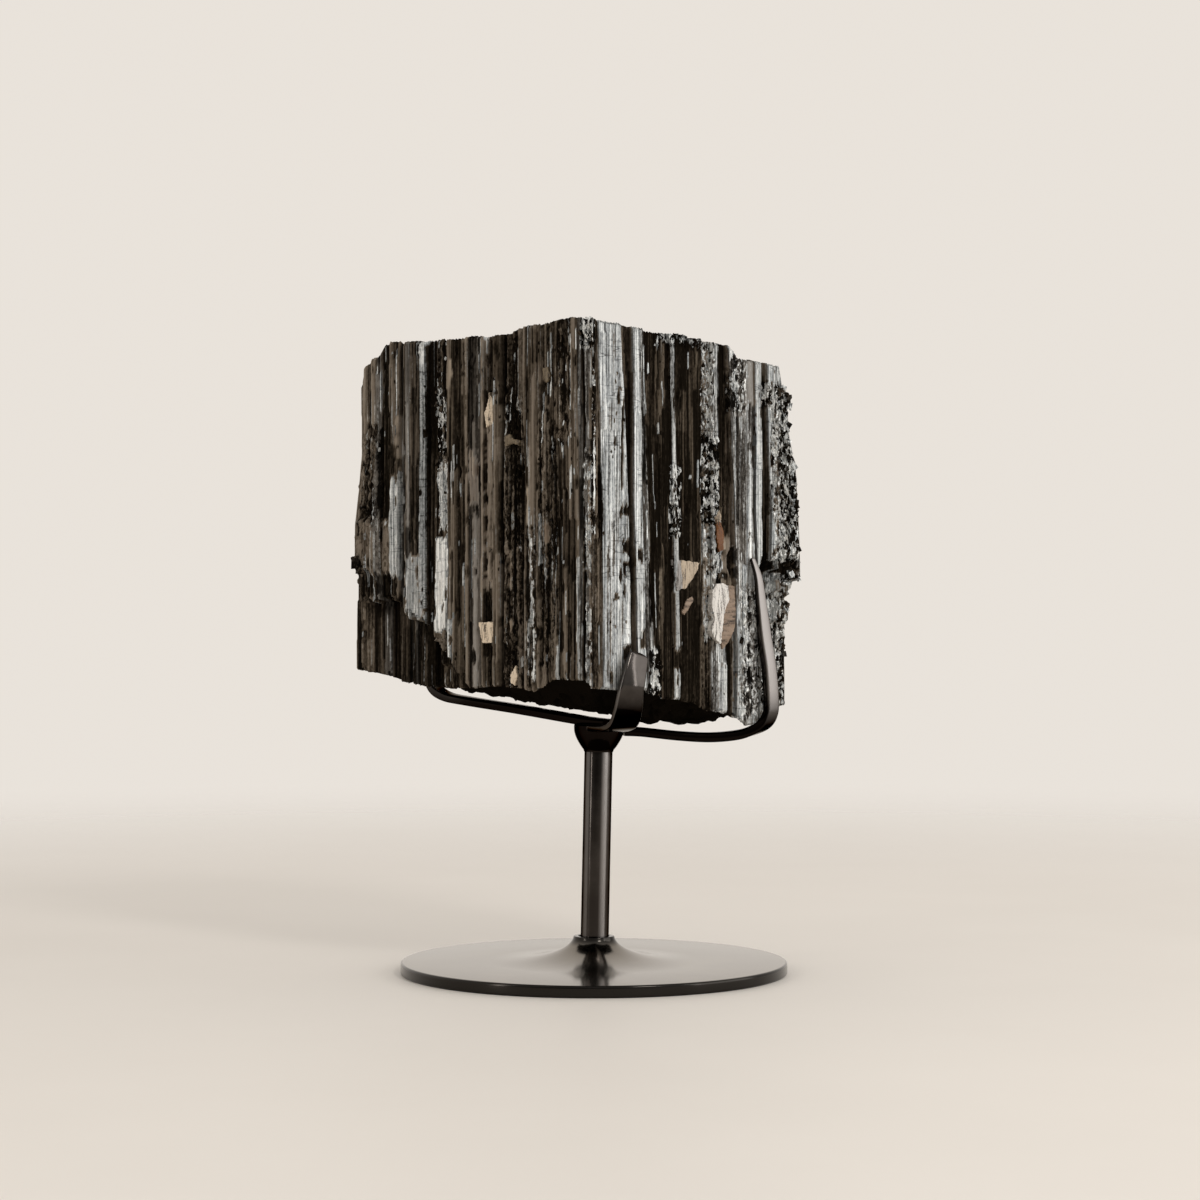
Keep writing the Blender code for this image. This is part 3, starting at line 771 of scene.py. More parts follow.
LEFT_LEDGE_STEP = [(0, 0), (6, 3), (16, 6.5), (60, 6.5), (68, 4), (74, 0)]
RIGHT_LEDGE = [(104, 186), (112, 190), (125, 184), (137, 180)]
RIGHT_LEDGE_STEP = [(104, 0), (112, 3), (118, 5.5), (137, 5.5)]
# How far the two outer corners stand out at each height.
RIGHT_CORNER = [
    (122, 0.4), (180, 0.4), (184, 0.6), (205, 0.2), (220, -0.3), (235, -1.2), (248, -3.6),
    (262, -4.2), (268, -2.8), (285, -4.5),
]
LEFT_CORNER = [
    (139, 1.4), (183, 1.5), (187, 2.2), (207, 2.1), (220, 1.2), (228, 0.5), (240, -0.1), (290, -0.3),
]


def length_of(face):
    return (face.end - face.start).length


def other_end(face, a):
    """Turns a distance from the front corner into one from the face's first corner, and back."""
    return length_of(face) - a if face.turned else a


def block_faces():
    """The five faces. The three behind have plain tops and feet."""
    faces = [Face("right", FRONT, RIGHT, False, RIGHT_TOP, RIGHT_FOOT, RIGHT_LEDGE, RIGHT_LEDGE_STEP)]
    corners = [RIGHT, BACK_RIGHT, BACK_LEFT, LEFT]
    tops = [264, 285, 290, 272]
    feet = [122, 124, 131, 138.6]
    for i, name in enumerate(("back_right", "back", "back_left")):
        length = (corners[i + 1] - corners[i]).length
        top = [(0, tops[i]), (length * 0.45, 291), (length * 0.8, 288), (length, tops[i + 1])]
        foot = [(0, feet[i]), (length, feet[i + 1])]
        ledge = [(0, 182), (length, 180)] if i < 2 else [(0, 184)]
        step = [(0, 0)]
        if i == 0:
            top[1:2] = [(length * 0.12, 269), (length * 0.44, 275), (length * 0.56, 285)]
            step = [(0, 5.5), (length * 0.25, 4), (length * 0.4, 0)]
        faces.append(Face(name, corners[i], corners[i + 1], False, top, foot, ledge, step))
    faces.append(Face("left", LEFT, FRONT, True, LEFT_TOP, LEFT_FOOT, LEFT_LEDGE, LEFT_LEDGE_STEP))
    return faces


FACES = block_faces()
FACE_NAMED = {face.name: face for face in FACES}
print("face lengths in mm:", [round(length_of(face), 1) for face in FACES])

# %% [markdown]
# ## The crystals on each face
# Every upright strip is one crystal. They could be a hundred separate prisms, but the crystals are
# grown together, and one stepped skin has no faces buried inside. A row says where a strip's far edge
# runs at three heights, measured from the front corner, how far its two edges stand out, how pale it
# is from black to brown-grey, how much of it is bare silvery face, whose pale colour is partly a painted
# reflection, and how coarse its fine ribs are. The deeply sunk strips are gaps between crystals, and
# their dark tone is painted shade.

# %% Strips of the two fine faces
RIGHT_STRIPS = [  # high, middle, low, near, far, tone, silver, grain
    (3.5, 6, 6.9, 0.4, 0, 0.4, 0.1, 0.25), (14, 15.9, 17.8, 0.8, 0.8, 0.55, 0.72, 0.1),
    (17.2, 21.9, 24.1, 1, 1.4, 0.8, 0.88, 0.08), (25.3, 25.6, 28.5, -1.6, -1.4, 0.14, 0, 0.06),
    (29.8, 31, 34.2, 1, 0.7, 0.8, 0.8, 0.1), (32.9, 35.5, 40.6, 0.5, -0.2, 0.35, 0.42, 0.2),
    (40, 43.2, 45.7, -0.2, 0.2, 0.06, 0, 0.1), (48, 50.6, 51.6, 0.2, 0.5, 0.09, 0.02, 0.1),
    (51.9, 54.2, 56.8, 1.4, 0.2, 0.6, 0.78, 0.1), (60.1, 61.4, 62.7, 0, 0.5, 0.11, 0, 0.06),
    (68.6, 68, 68.6, 0.5, 0.7, 0.12, 0, 0.07), (69.9, 69.9, 69.9, 1, 0.4, 0.15, 0.1, 0.05),
    (75.9, 76.6, 76.6, -0.3, -1, 0.14, 0.12, 0.3), (81.6, 82.6, 87.3, 0.7, 0, 0.5, 0.58, 0.24),
    (86.7, 91.4, 93.4, -2, -1.6, 0.06, 0, 0.1), (97.5, 100.9, 98.9, 1.2, 1.6, 0.7, 0.53, 0.24),
    (103.7, 104.4, 107.8, 0.6, 0.8, 0.76, 0.56, 0.18), (105, 105.7, 109.2, -1.2, -1.2, 0.08, 0, 0.1),
    (109.9, 110.6, 111.9, 1.6, 1, 0.9, 1, 0.08), (116.1, 117.5, 116.8, -2.5, -3.5, 0.16, 0.08, 0.1),
    (119.6, 121, 121, 0.2, 0.8, 0.75, 0.82, 0.18), (127.3, 128.7, 128.7, 1, 0.4, 0.75, 0.8, 0.3),
    (136.5, 136.5, 136.5, 1, 0.6, 0.7, 0.65, 0.3),
]
LEFT_STRIPS = [  # the same
    (0.8, 1.4, 1.4, 0.3, 0.5, 0.35, 0.1, 0.25), (4.1, 2.9, 3.2, 0.6, 1, 0.5, 0.45, 0.35),
    (6.2, 4.4, 5, -0.8, -0.8, 0.02, 0, 0.1), (8.6, 6.8, 7.4, 0.8, 0.4, 0.45, 0.42, 0.1),
    (13.7, 12.8, 12.8, 0.6, 1, 0.4, 0, 0.12), (18.8, 18.8, 18.8, 0.9, 1.4, 0.37, 0, 0.12),
    (23.7, 23.1, 23.1, 0.2, 0.6, 0.33, 0.02, 0.2), (26.1, 26.5, 26.8, -0.5, -0.7, 0.38, 0.05, 0.12),
    (31.1, 31.1, 31.1, -0.4, -0.3, 0.38, 0.03, 0.2), (35.4, 35.4, 36, 0.8, 1.2, 0.42, 0.02, 0.1),
    (40.3, 39.7, 39.7, 1.2, 1.6, 0.4, 0.02, 0.1), (47.2, 47.2, 47.2, -0.8, -0.4, 0.3, 0.05, 0.32),
    (53.5, 53.8, 54.1, 0.2, -0.4, 0.31, 0.04, 0.32), (55.1, 55.1, 55.4, -2.6, -2.6, 0.02, 0, 0.1),
    (59.2, 59.2, 59.2, 1.2, 1.8, 0.42, 0.16, 0.05), (61.4, 61.7, 61.7, 0, -0.1, 0.3, 0.02, 0.1),
    (66.2, 66.2, 66.2, -0.3, -0.6, 0.34, 0.02, 0.2), (68.7, 68.1, 68.1, 0.8, 0.2, 0.66, 0.06, 0.08),
    (72.2, 72.2, 71.9, -0.2, 0.4, 0.32, 0.04, 0.15), (75.8, 75.5, 75.1, 0.4, 1, 0.28, 0.03, 0.15),
    (77.1, 77.1, 76.7, 1.6, 1.6, 0.7, 0.06, 0.06), (81, 80.6, 80.3, 0.4, 0.8, 0.26, 0, 0.05),
    (84.2, 84.2, 84.2, 0.9, 1.2, 0.2, 0, 0.05), (88.8, 88.4, 88.1, 0.8, 2, 0.5, 0.1, 0.12),
    (92, 91.4, 90.7, 1.2, 0.5, 0.3, 0.1, 0.25), (97.3, 98.3, 99.3, 0.5, -0.6, 0.3, 0.05, 0.2),
    (99.9, 100.3, 100.6, -1.5, -2, 0.12, 0, 0.1), (104.4, 104.2, 104, -2.6, -2.6, 0, 0, 0.05),
    (107.6, 107.8, 108.3, 0.4, 0.7, 0.3, 0.76, 0.02), (113.2, 113.2, 113.9, 0.5, 1.4, 0.28, 0.02, 0.12),
    (115.9, 115.9, 115.9, 2, 1.6, 0.46, 0.03, 0.1), (117.9, 118.3, 118.6, 1.6, 1.2, 0.36, 0.02, 0.12),
    (121.3, 121.3, 121.3, -0.6, -1.2, 0.28, 0.02, 0.12), (127.4, 126.7, 126.1, 1, 1.8, 0.42, 0.04, 0.14),
    (128.4, 127.7, 127.1, -0.8, -0.8, 0.08, 0, 0.06), (132.9, 132.5, 132.2, 0.2, 0.2, 0.22, 0.02, 0.12),
    (134.2, 133.9, 133.5, -1.8, -1.8, 0.02, 0, 0.05), (137.7, 137.7, 137, 0.7, 0.9, 0.62, 0.06, 0.15),
    (141.4, 141.4, 141.1, 0.9, 0.3, 0.62, 0.06, 0.15), (142.3, 142.3, 142.1, -0.4, -0.4, 0.1, 0, 0.05),
    (147.9, 147.9, 147.9, 0.6, 0.4, 0.56, 0.05, 0.2),
]
NO_STRIP = Strip(0, 0, 0, 0, 0, 0, 0, 0)  # where the first strip of a face begins
GROOVE_WIDTH = 1.4
GROOVE = (-2.2, -2.2, 0.05, 0.0, 0.08)  # near, far, tone, silver and grain of a groove, whose dark tone is painted shade
# Ranges of the strips behind, which are drawn at random.
WIDTHS, WANDERS, NEARS, TWISTS = (2.6, 8.5), (-1.2, 1.2), (-1.2, 1.0), (-0.9, 0.5)
TONES, GRAINS, SILVERY, DULLED = (0.15, 0.5), (0.06, 0.25), (0.5, 0.95), (0.0, 0.1)
SILVERY_SHARE, GROOVE_SHARE = 0.22, 0.35


def grown_strips(length, draw):
    """Strips for a face behind: widths, edges and shine drawn at random."""
    strips = []
    reached = 0.0
    while reached < length - 4:
        reached = min(reached + draw.uniform(*WIDTHS), length)
        wander = draw.uniform(*WANDERS)
        edges = [min(max(reached + wander * k, 0), length) for k in (-0.5, 0.0, 0.5)]
        near = draw.uniform(*NEARS)
        silver = draw.uniform(*(SILVERY if draw.random() < SILVERY_SHARE else DULLED))
        tone = draw.uniform(*TONES) + 0.3 * (silver > 0.4)
        far, grain = near + draw.uniform(*TWISTS), draw.uniform(*GRAINS)
        strips.append(Strip(*edges, near, far, tone, silver, grain))
        if draw.random() < GROOVE_SHARE and reached < length - 8:
            reached += GROOVE_WIDTH
            strips.append(Strip(*[e + GROOVE_WIDTH for e in edges], *GROOVE))
    strips[-1] = strips[-1]._replace(high=length, middle=length, low=length)
    return strips


def strips_of(face, draw):
    """The face's strips in order from its first corner. The left face is written down from its end."""
    length = length_of(face)
    rows = {"right": RIGHT_STRIPS, "left": LEFT_STRIPS}.get(face.name)
    if rows is None:
        return grown_strips(length, draw)
    known = [Strip(*row) for row in rows]
    if not face.turned:
        return known
    inner = [NO_STRIP] + known[:-1]
    return [
        outer._replace(
            high=length - edge.high, middle=length - edge.middle, low=length - edge.low,
            near=outer.far, far=outer.near,
        )
        for outer, edge in zip(known[::-1], inner[::-1])
    ]


SEED = 11
draw = random.Random(SEED)
STRIPS = {face.name: strips_of(face, draw) for face in FACES}
print("crystals on each face:", {name: len(strips) for name, strips in STRIPS.items()})

# %% [markdown]
# ## Marks on the faces
# On top of the plain strips come the things that happened to each one: a patch crumbled to glitter, a
# plate of clean face, a hollow, a stain. The black of the hollows and under the ledges is painted shade.
# They could be painted by hand, but a mark in a table can be moved by a millimetre. A mark is a box on
# a face with a ragged outline, and its distances are also measured from the front corner. Their order
# counts: a later mark lies over an earlier one, and a mark's place in the list seeds its ragged outline.

# %% Named marks
Mark = namedtuple("Mark", "kind near far low high ragged depth amount")
RIGHT_MARKS = [  # kind, then rows of near, far, low, high, ragged, depth, amount
    ("crumble", (69.5, 77.5, 207, 292, 1.2, 0.9, 1), (75, 83, 205, 246, 1.4, 0.8, 0.8),
      (73, 82, 153, 208, 1.2, 0.6, 0.6), (88, 98, 258, 290, 1.2, 0.4, 0.5),
      (95, 110, 118, 178, 1.5, 0.5, 0.55), (110, 131, 262, 272, 1, 1.2, 1),
      (119, 137, 190, 262, 1.8, 0.9, 0.62), (116, 137, 118, 182, 1.6, 0.7, 0.7),
      (0, 3, 200, 296, 0.6, 0.3, 0.5), (49, 57, 199, 232, 0.8, 0.5, 0.6),
      (36, 44, 126, 150, 0.8, 0.5, 0.7), (40, 71, 286.5, 294, 1.6, 0.8, 0.5)),
    ("black", (110, 136, 182.5, 190.5, 2.4, 3.2, 1)),
    ("crumble", (109, 137, 180, 193, 1.6, 0.5, 0.22)),
    ("black", (84.5, 92.5, 183, 193, 2.4, 1.5, 1), (81, 86, 119, 149, 0.4, 0, 0),
      (17.5, 23.5, 209, 213, 0.7, 1.2, 1), (19, 24, 192.5, 197.5, 0.9, 1.2, 1),
      (19, 22.6, 183, 188, 0.8, 1.1, 1), (19.5, 23.5, 145, 151, 0.8, 1.3, 1),
      (28.5, 31.5, 189, 194, 0.7, 1, 1), (17.6, 18.8, 221, 257, 0.3, 0.8, 1),
      (51, 57, 140, 149, 0.9, 1, 1), (30.5, 33.5, 150, 158, 0.7, 0.8, 0.9)),
    ("silver", (71, 81, 228, 236, 1.2, 0.4, 0.8), (81.5, 88.5, 117, 142, 0.4, 0.6, 0.7),
      (92.5, 97, 115, 170, 0.5, 0.3, 0.55), (118.5, 127, 175.5, 184, 0.6, 1.8, 1.2),
      (125, 137, 161, 171, 0.8, 2.6, 0.6), (124, 136, 173, 181, 0.8, 3.2, 0.6),
      (70, 77, 246, 290, 1.5, 0.3, 0.6), (72, 79, 158, 206, 1.4, 0.3, 0.55),
      (119.5, 127, 162, 171.5, 0.6, 1.4, 1.2), (96, 99, 150, 187, 0.5, 0.4, 0.8)),
    ("tan", (99.8, 106.6, 262, 283, 1.6, 0.2, 0.3), (111.6, 113.6, 228, 238, 1.2, 0.3, 0.45),
      (87, 91, 184, 200, 0.6, 0, 0.4)),
    ("rust", (82.5, 92, 177, 181.5, 0.8, 0.3, 0.8), (75.5, 80, 148, 154, 0.9, 0.2, 0.6),
      (43, 45, 140, 186, 0.5, 0.2, 0.6), (51, 52.6, 150, 175, 0.4, 0.2, 0.6)),
]
LEFT_MARKS = [  # the same
    ("crumble", (134, 146.5, 208, 252, 1.8, -0.6, 0.3), (88.5, 97.5, 230, 268, 1.4, 0.5, 0.9),
      (88.5, 97.5, 204, 232, 1.2, 0.4, 0.3), (89, 100, 262, 290, 1.4, 0.3, 0.3),
      (12, 20, 240, 296, 1.4, 0.3, 0.3), (0, 6.5, 282, 296, 0.8, 0.8, 0.9),
      (42, 54, 131, 262, 2, 0.35, 0.25), (21, 32, 140, 250, 2, 0.3, 0.25),
      (105, 109, 285, 294, 0.6, 0.4, 0.8)),
    ("silver", (120.8, 126.4, 181.5, 228, 0.9, 0.5, 0.95), (88.9, 98.6, 157, 200, 0.9, 1.1, 1.25),
      (107, 117, 160, 192, 3.2, 0, 0.55), (85.5, 88.5, 143, 163, 0.5, 0.3, 0.85),
      (134, 135, 260, 279, 0.3, 0.3, 0.6), (133.8, 137.2, 137, 168, 0.4, 0.6, 0.62),
      (127.7, 128.5, 140, 158, 0.3, 0.5, 0.9), (108.8, 109.8, 136, 152, 0.3, 0.4, 0.6),
      (142.5, 143.1, 141, 158, 0.3, 0.3, 0.5), (95.4, 98.6, 132.5, 147, 0.6, 0.5, 0.6)),
    ("black", (101.5, 109, 130, 157, 0.6, 0.3, 0.7)),
    ("silver", (70.2, 72.8, 132, 212, 0.7, 0.2, 0.24), (0.2, 4.2, 134, 232, 0.7, 0.4, 0.75)),
    ("crumble", (0, 4.5, 134, 236, 0.8, 0.3, 0.4)),
    ("silver", (6.6, 8.4, 133, 190, 0.5, 0.4, 0.7), (36.2, 37.3, 199, 216, 0.4, 0.4, 1.1),
      (35.2, 36.4, 181, 198, 0.4, 0.4, 1.1), (34.2, 35.5, 160, 180, 0.4, 0.4, 1.1),
      (33.2, 34.5, 136, 159, 0.4, 0.4, 1.1)),
    ("crumble", (32.5, 38.5, 133, 205, 1.4, 0.2, 0.35)),
    ("silver", (19, 20.5, 133, 152, 0.5, 0.3, 0.8), (24.6, 25.8, 262, 290, 0.4, 0.2, 0.75),
      (67.4, 68.4, 263, 291, 0.3, 0.2, 0.7), (64, 66, 283, 291, 0.4, 0.2, 0.7),
      (47.5, 48.6, 203, 210, 0.4, 0.2, 0.9), (36.2, 37, 212, 240, 0.4, 0.2, 0.5)),
    ("black", (136.5, 142, 248, 254, 1, 1.4, 0.7), (138, 146, 209, 216, 1.4, 1.3, 0.8),
      (62.6, 65.2, 261, 289, 0.5, 1.8, 1), (117.5, 120.8, 178, 226, 0.5, 1.4, 1),
      (88.4, 90.4, 142, 156, 0.5, 1.2, 0.9), (28, 31.5, 255, 268, 0.8, 0.8, 0.7),
      (62, 64.5, 160, 180, 0.8, 0.9, 0.8), (60, 64, 131, 150, 0.9, 0.9, 0.8)),
    ("tan", (61.5, 65.4, 178, 250, 2.2, 0.1, 0.36), (70.6, 74.6, 216, 238, 2, 0.2, 0.55),
      (86.2, 87.9, 269, 281, 0.8, 0.2, 0.55), (67, 67.8, 176, 292, 0.8, 0.1, 0.38),
      (114, 115.6, 205, 262, 0.7, 0.1, 0.35), (119.5, 123, 238, 258, 2.2, 0.1, 0.28),
      (48.5, 50.5, 157, 162, 0.5, 0.3, 0.8), (26.3, 28, 197, 206, 0.4, 0.2, 0.7),
      (37, 38.6, 206, 222, 0.4, 0.1, 0.6), (48.6, 51.2, 176, 193, 0.6, 0.1, 0.45)),
    ("black", (81.2, 82, 160, 262, 0.3, 0.8, 0.9)),
    ("pale", (76, 77.2, 255, 290, 0.2, 0.1, 0.5), (88.9, 99.4, 141, 153.5, 0.6, 1.8, 0.45),
      (127.5, 147, 184, 209, 1.8, 0.4, 0.5)),
    ("silver", (89, 97, 204, 238, 1.4, 0.3, 0.8), (91, 93.6, 236, 264, 1.3, 0.3, 0.75)),
    ("black", (123, 148, 172, 183.5, 2.2, 1.2, 0.85), (121, 150, 128, 171, 1.2, 0, 0.36),
      (101, 122, 128, 158, 1.2, 0, 0.36), (88, 101.5, 128, 146, 1.2, 0, 0.36)),
    ("silver", (104.6, 107.4, 280, 292, 0.5, 0, 1.1)),
]


def marks_from(table):
    return [Mark(kind, *row) for kind, *rows in table for row in rows]


MARKS = {"right": marks_from(RIGHT_MARKS), "left": marks_from(LEFT_MARKS)}
print("named marks:", {name: len(marks) for name, marks in MARKS.items()})

# %% [markdown]
# ## Chips, glints and breaks
# Hundreds of small marks are alike, so they are drawn at random with a fixed seed. A chip is a little
# pit where a flake has jumped off, and painted shade darkens it. A glint is a painted highlight, a
# hair-thin line of silvery colour. A break is a height at which one crystal is snapped across, and the
# piece above stands a little further out or in.

# %% Small marks at random
Fleck = namedtuple("Fleck", "near far low high amount")  # a chip or a glint
Piece = namedtuple("Piece", "height shift paler")  # a crystal's piece above a break
CHIPS = {"right": 90, "left": 150, "back": 60, "back_left": 50, "back_right": 50}
GLINTS = {"right": 60, "left": 170, "back": 70, "back_left": 60, "back_right": 50}
CHIP_DEPTHS, GLINT_AMOUNTS = (0.5, 1.5), (0.5, 1.25)
FOOT_LEVEL, TOP_LEVEL = 120, 292


def chip_size(draw):
    return draw.uniform(0.4, 1.3), draw.uniform(0.9, 3.6)


def glint_size(draw):
    return draw.uniform(0.22, 0.42), draw.choice((draw.uniform(0.8, 3), draw.uniform(3, 16)))


def scattered(counts, size, amounts, draw):
    """Flecks strewn over every face. size draws half the width and half the height of one."""
    flecks = {}
    for face in FACES:
        flecks[face.name] = []
        for _ in range(counts[face.name]):
            middle, height = draw.uniform(0, length_of(face)), draw.uniform(FOOT_LEVEL, TOP_LEVEL)
            half, tall = size(draw)
            box = middle - half, middle + half, height - tall, height + tall
            flecks[face.name].append(Fleck(*box, draw.uniform(*amounts)))
    return flecks


def broken_pieces(draw, rough):
    """The pieces of one crystal from the foot up, which stand out more unevenly where it is rough."""
    pieces = []
    height = FOOT_LEVEL - 10 + draw.uniform(0, 30)
    while height < TOP_LEVEL:
        shift = draw.uniform(-0.5, 0.4) * (0.4 + 3 * rough)
        pieces.append(Piece(height, shift, draw.uniform(-0.10, 0.10)))
        height += draw.uniform(8, 60)
    return pieces


print("chips:", sum(CHIPS.values()), "glints:", sum(GLINTS.values()))

# %% [markdown]
# ## Laying a mark on the stone
# Five amounts describe the stone at one place: how far it stands out from the flat, in millimetres, and
# four for the finish, which are silvery face, tan stain, crumbled glitter and paleness. The silver is
# partly a painted reflection and the glitter a painted highlight. Each kind of mark changes some of
# them. The torn edge comes from noise added to the distance from the box's sides, which is cheaper
# than a drawn outline and never looks cut out.

# %% Laying a mark
STAINS = {"tan": (1.0, 0.75), "rust": (0.55, 0.2)}  # how much tan it adds, and the tone it leaves
Growth = namedtuple("Growth", "out silver tan crumble tone")


def ragged_share(mark, a, z, seed):
    """1 inside a mark and 0 outside, with a torn edge."""
    if a < mark.near - 2 or a > mark.far + 2 or z < mark.low - 4 or z > mark.high + 4:
        return 0.0
    inside = min(a - mark.near, mark.far - a, (z - mark.low) * 0.5, (mark.high - z) * 0.5)
    torn = soft_noise(a * 0.55, z * 0.22, seed) + 0.5 * soft_noise(a * 1.6, z * 0.7, seed)
    return smooth_step((inside + mark.ragged * torn) / 0.5 + 0.5)


def marked(growth, mark, share, a, z):
    """The growth at a place with one mark laid over it."""
    out, silver, tan, crumble, tone = growth
    amount = share * mark.amount
    if mark.kind == "crumble":
        lump = soft_noise(a * 0.6, z * 0.33, 5.0) + 0.8 * soft_noise(a * 1.4, z * 0.7, 9.0)
        out += mark.depth * share * lump * 2.2
        crumble = max(crumble, amount)
        silver *= 1 - 0.35 * amount
    # A silver mark is clean face, and its pale colour is partly a painted reflection.
    elif mark.kind == "silver":
        out += mark.depth * share
        silver = max(silver * (1 - share), amount)
        crumble *= 1 - share * max(0.5, min(1.0, 4 * mark.amount - 3.6))
        tone = blend(tone, 0.8, share)
    # A black mark is painted shade: it darkens a hollow or the stone at a ledge.
    elif mark.kind == "black":
        out -= mark.depth * share
        silver *= 1 - amount
        tan *= 1 - amount
        tone *= 1 - 0.95 * amount
    elif mark.kind == "pale":
        out += mark.depth * share
        silver *= 1 - share
        tone = blend(tone, mark.amount, share)
        crumble = max(crumble, 0.3 * share)
    else:
        strength, tone_left = STAINS[mark.kind]
        out += mark.depth * share
        silver *= 1 - amount
        crumble *= 1 - amount
        tan = max(tan, amount * strength)
        tone = blend(tone, tone_left, share)
    return Growth(out, silver, tan, crumble, tone)


print("a place on the stone has:", ", ".join(Growth._fields))

# %% [markdown]
# ## One place on the stone
# This is the heart of the stone. It starts from the crystal that the place is on, adds the fine ribs
# and the breaks, lays the marks over them, and ends with the glints and the chips. Doing all of it in
# one function keeps shape and finish together: where a chip bites, painted shade makes the stone darker.

# %% One place on the stone
RIB_BANDS = ((0.9, 34, 3.0), (2.3, 60, 8.0))  # width and length of the ribs on a crystal, and a seed
DULL, MIXED = 0.3, 0.6  # a crystal less silvery than DULL is dull, and from MIXED on it is silvery
CLEAN, CLEAN_CALM = 0.5, 0.2  # a crystal more silvery than this has only this share of the ribs


def growth_at(column, a, z, marks, chips, glints):
    """a runs from the front corner on the two fine faces, and from the first corner on those behind."""
    strip = column.strip
    calm = CLEAN_CALM if strip.silver > CLEAN else 1.0
    out = blend(strip.near, strip.far, column.across) + strip.grain * column.rib * calm
    out += 0.22 * soft_noise(a * 0.15, z * 0.05, 2.0)
    tone, silver = strip.tone, strip.silver
    for width, length, seed in RIB_BANDS:
        own = cell_noise(a / width, 0.5, seed)
        band = cell_noise(a / width, z / length + 17 * own, seed + 1) - 0.5
        out += band * (0.15 + 1.6 * strip.grain) * calm
        tone += band * 0.26 * (0.3 + tone)
        silver += band * 0.22 * silver
    below = [piece for piece in column.pieces if piece.height < z]
    if below:
        out += below[-1].shift
        tone += below[-1].paler
    tone += 0.12 * soft_noise(a * 1.3, z * 0.03, 4.0)
    silver += 0.10 * soft_noise(a * 1.1, z * 0.04, 7.0) * (strip.silver > DULL)
    growth = Growth(out, silver, 0.0, 0.0, tone)
    for number, mark in enumerate(marks):
        share = ragged_share(mark, a, z, number * 3.7)
        if share > 0:
            growth = marked(growth, mark, share, a, z)
    out, silver, tan, crumble, tone = growth
    # Glints are painted highlights: thin lines of silver colour.
    for glint in glints:
        if glint.low < z < glint.high:
            silver = max(silver, glint.amount)
            out += 0.15
    # A chip bites a pit, and painted shade darkens it.
    for chip in chips:
        if chip.low < z < chip.high:
            u = (2 * a - chip.near - chip.far) / (chip.far - chip.near)
            v = (2 * z - chip.low - chip.high) / (chip.high - chip.low)
            bite = max(0.0, 1 - u * u - v * v)
            out -= chip.amount * math.sqrt(bite)
            tone *= 1 - 0.8 * min(1, 2 * bite)
            silver *= 1 - min(1, 2 * bite)
    return Growth(out, silver, tan, crumble, min(max(tone, 0.0), 1.0))


print("crystals with calm ribs:", sum(strip.silver > CLEAN for row in STRIPS.values() for strip in row))

# %% [markdown]
# ## Columns of the skin
# The block's skin is a net of columns and rows. Columns are close together where a strip ends, so that
# the wall between two crystals is crisp, and further apart across it. They follow the strips' slanting
# edges. Behind, where the faces are plainer, they stand further apart.

# %% Columns
Column = namedtuple("Column", "face strip edge_before across rib pieces")
WALL = 0.12  # half the run of the wall between two strips, in mm
PITCH = {"right": 0.56, "left": 0.56, "back": 1.5, "back_left": 1.5, "back_right": 1.5}


def edge_at(strip, z):
    high, middle, low = BANDS
    return value_at([(low, strip.low), (middle, strip.middle), (high, strip.high)], z)


def make_columns():
    draw = random.Random(SEED + 1)
    columns = []
    for face in FACES:
        before = NO_STRIP
        for strip in STRIPS[face.name]:
            width = strip.middle - before.middle
            count = max(1, round(width / PITCH[face.name]))
            pieces = broken_pieces(draw, strip.grain)
            for k in range(count + 1):
                rib = draw.uniform(-1, 1) if 0 < k < count else draw.uniform(-0.4, 0.4)
                columns.append(Column(face, strip, before, k / count, rib, pieces))
            before = strip
    return columns


COLUMNS = make_columns()
print("columns round the block:", len(COLUMNS))

# %% [markdown]
# ## Where the faces meet
# The two outer corners lean in and out with height, and a slab has broken away below a ledge. Pushed
# straight in, two faces would come apart at their corner or cross it. So the big moves slide along the
# faces as well, as mitred boards do, and the corner stays closed.

# %% Moves that the faces share


def corner_slide(before, corner, after):
    return math.tan((corner - before).angle(after - corner) / 2)


def face_facts(n):
    """Direction along a face, outward from it, and how its two corners slide."""
    face, last, following = FACES[n], FACES[n - 1], FACES[(n + 1) % len(FACES)]
    along = (face.end - face.start).normalized()
    outward = Vector((along.y, -along.x))
    slide_start = corner_slide(last.start, face.start, face.end)
    return along, outward, slide_start, corner_slide(face.start, face.end, following.end)


FACTS = {face.name: face_facts(n) for n, face in enumerate(FACES)}


def corner_shares(face, edge):
    """How near a place is to the face's first and last corner, 1 at the corner itself."""
    return max(0, 1 - edge / CORNER_REACH), max(0, 1 - (length_of(face) - edge) / CORNER_REACH)


def spot_on(face, edge, big, small):
    """A place on the plan. Two faces that meet share the big move outward, the small one is local."""
    along, outward, slide_start, slide_end = FACTS[face.name]
    near_start, near_end = corner_shares(face, edge)
    spot = face.start + along * edge + outward * (big + small)
    return spot + along * (slide_end * near_end - slide_start * near_start) * big


def corner_move(face, edge, z):
    """How far the two outer corners carry a place out with them."""
    near_start, near_end = corner_shares(face, edge)
    on_right = near_start * (face.start is RIGHT) + near_end * (face.end is RIGHT)
    on_left = near_start * (face.start is LEFT) + near_end * (face.end is LEFT)
    return value_at(RIGHT_CORNER, z) * on_right + value_at(LEFT_CORNER, z) * on_left


print("slide of each corner:", [round(FACTS[face.name][2], 2) for face in FACES])

# %% [markdown]
# ## Light and warmth
# Shade is painted into the stone below the ledge, and it is darkest in the groove just under it. A
# crystal is also either brown or a cooler grey as a whole. Both could be left to the lamps and to
# noise in the shader, but the skin knows where the ledge and the crystals are, and the shader doesn't.

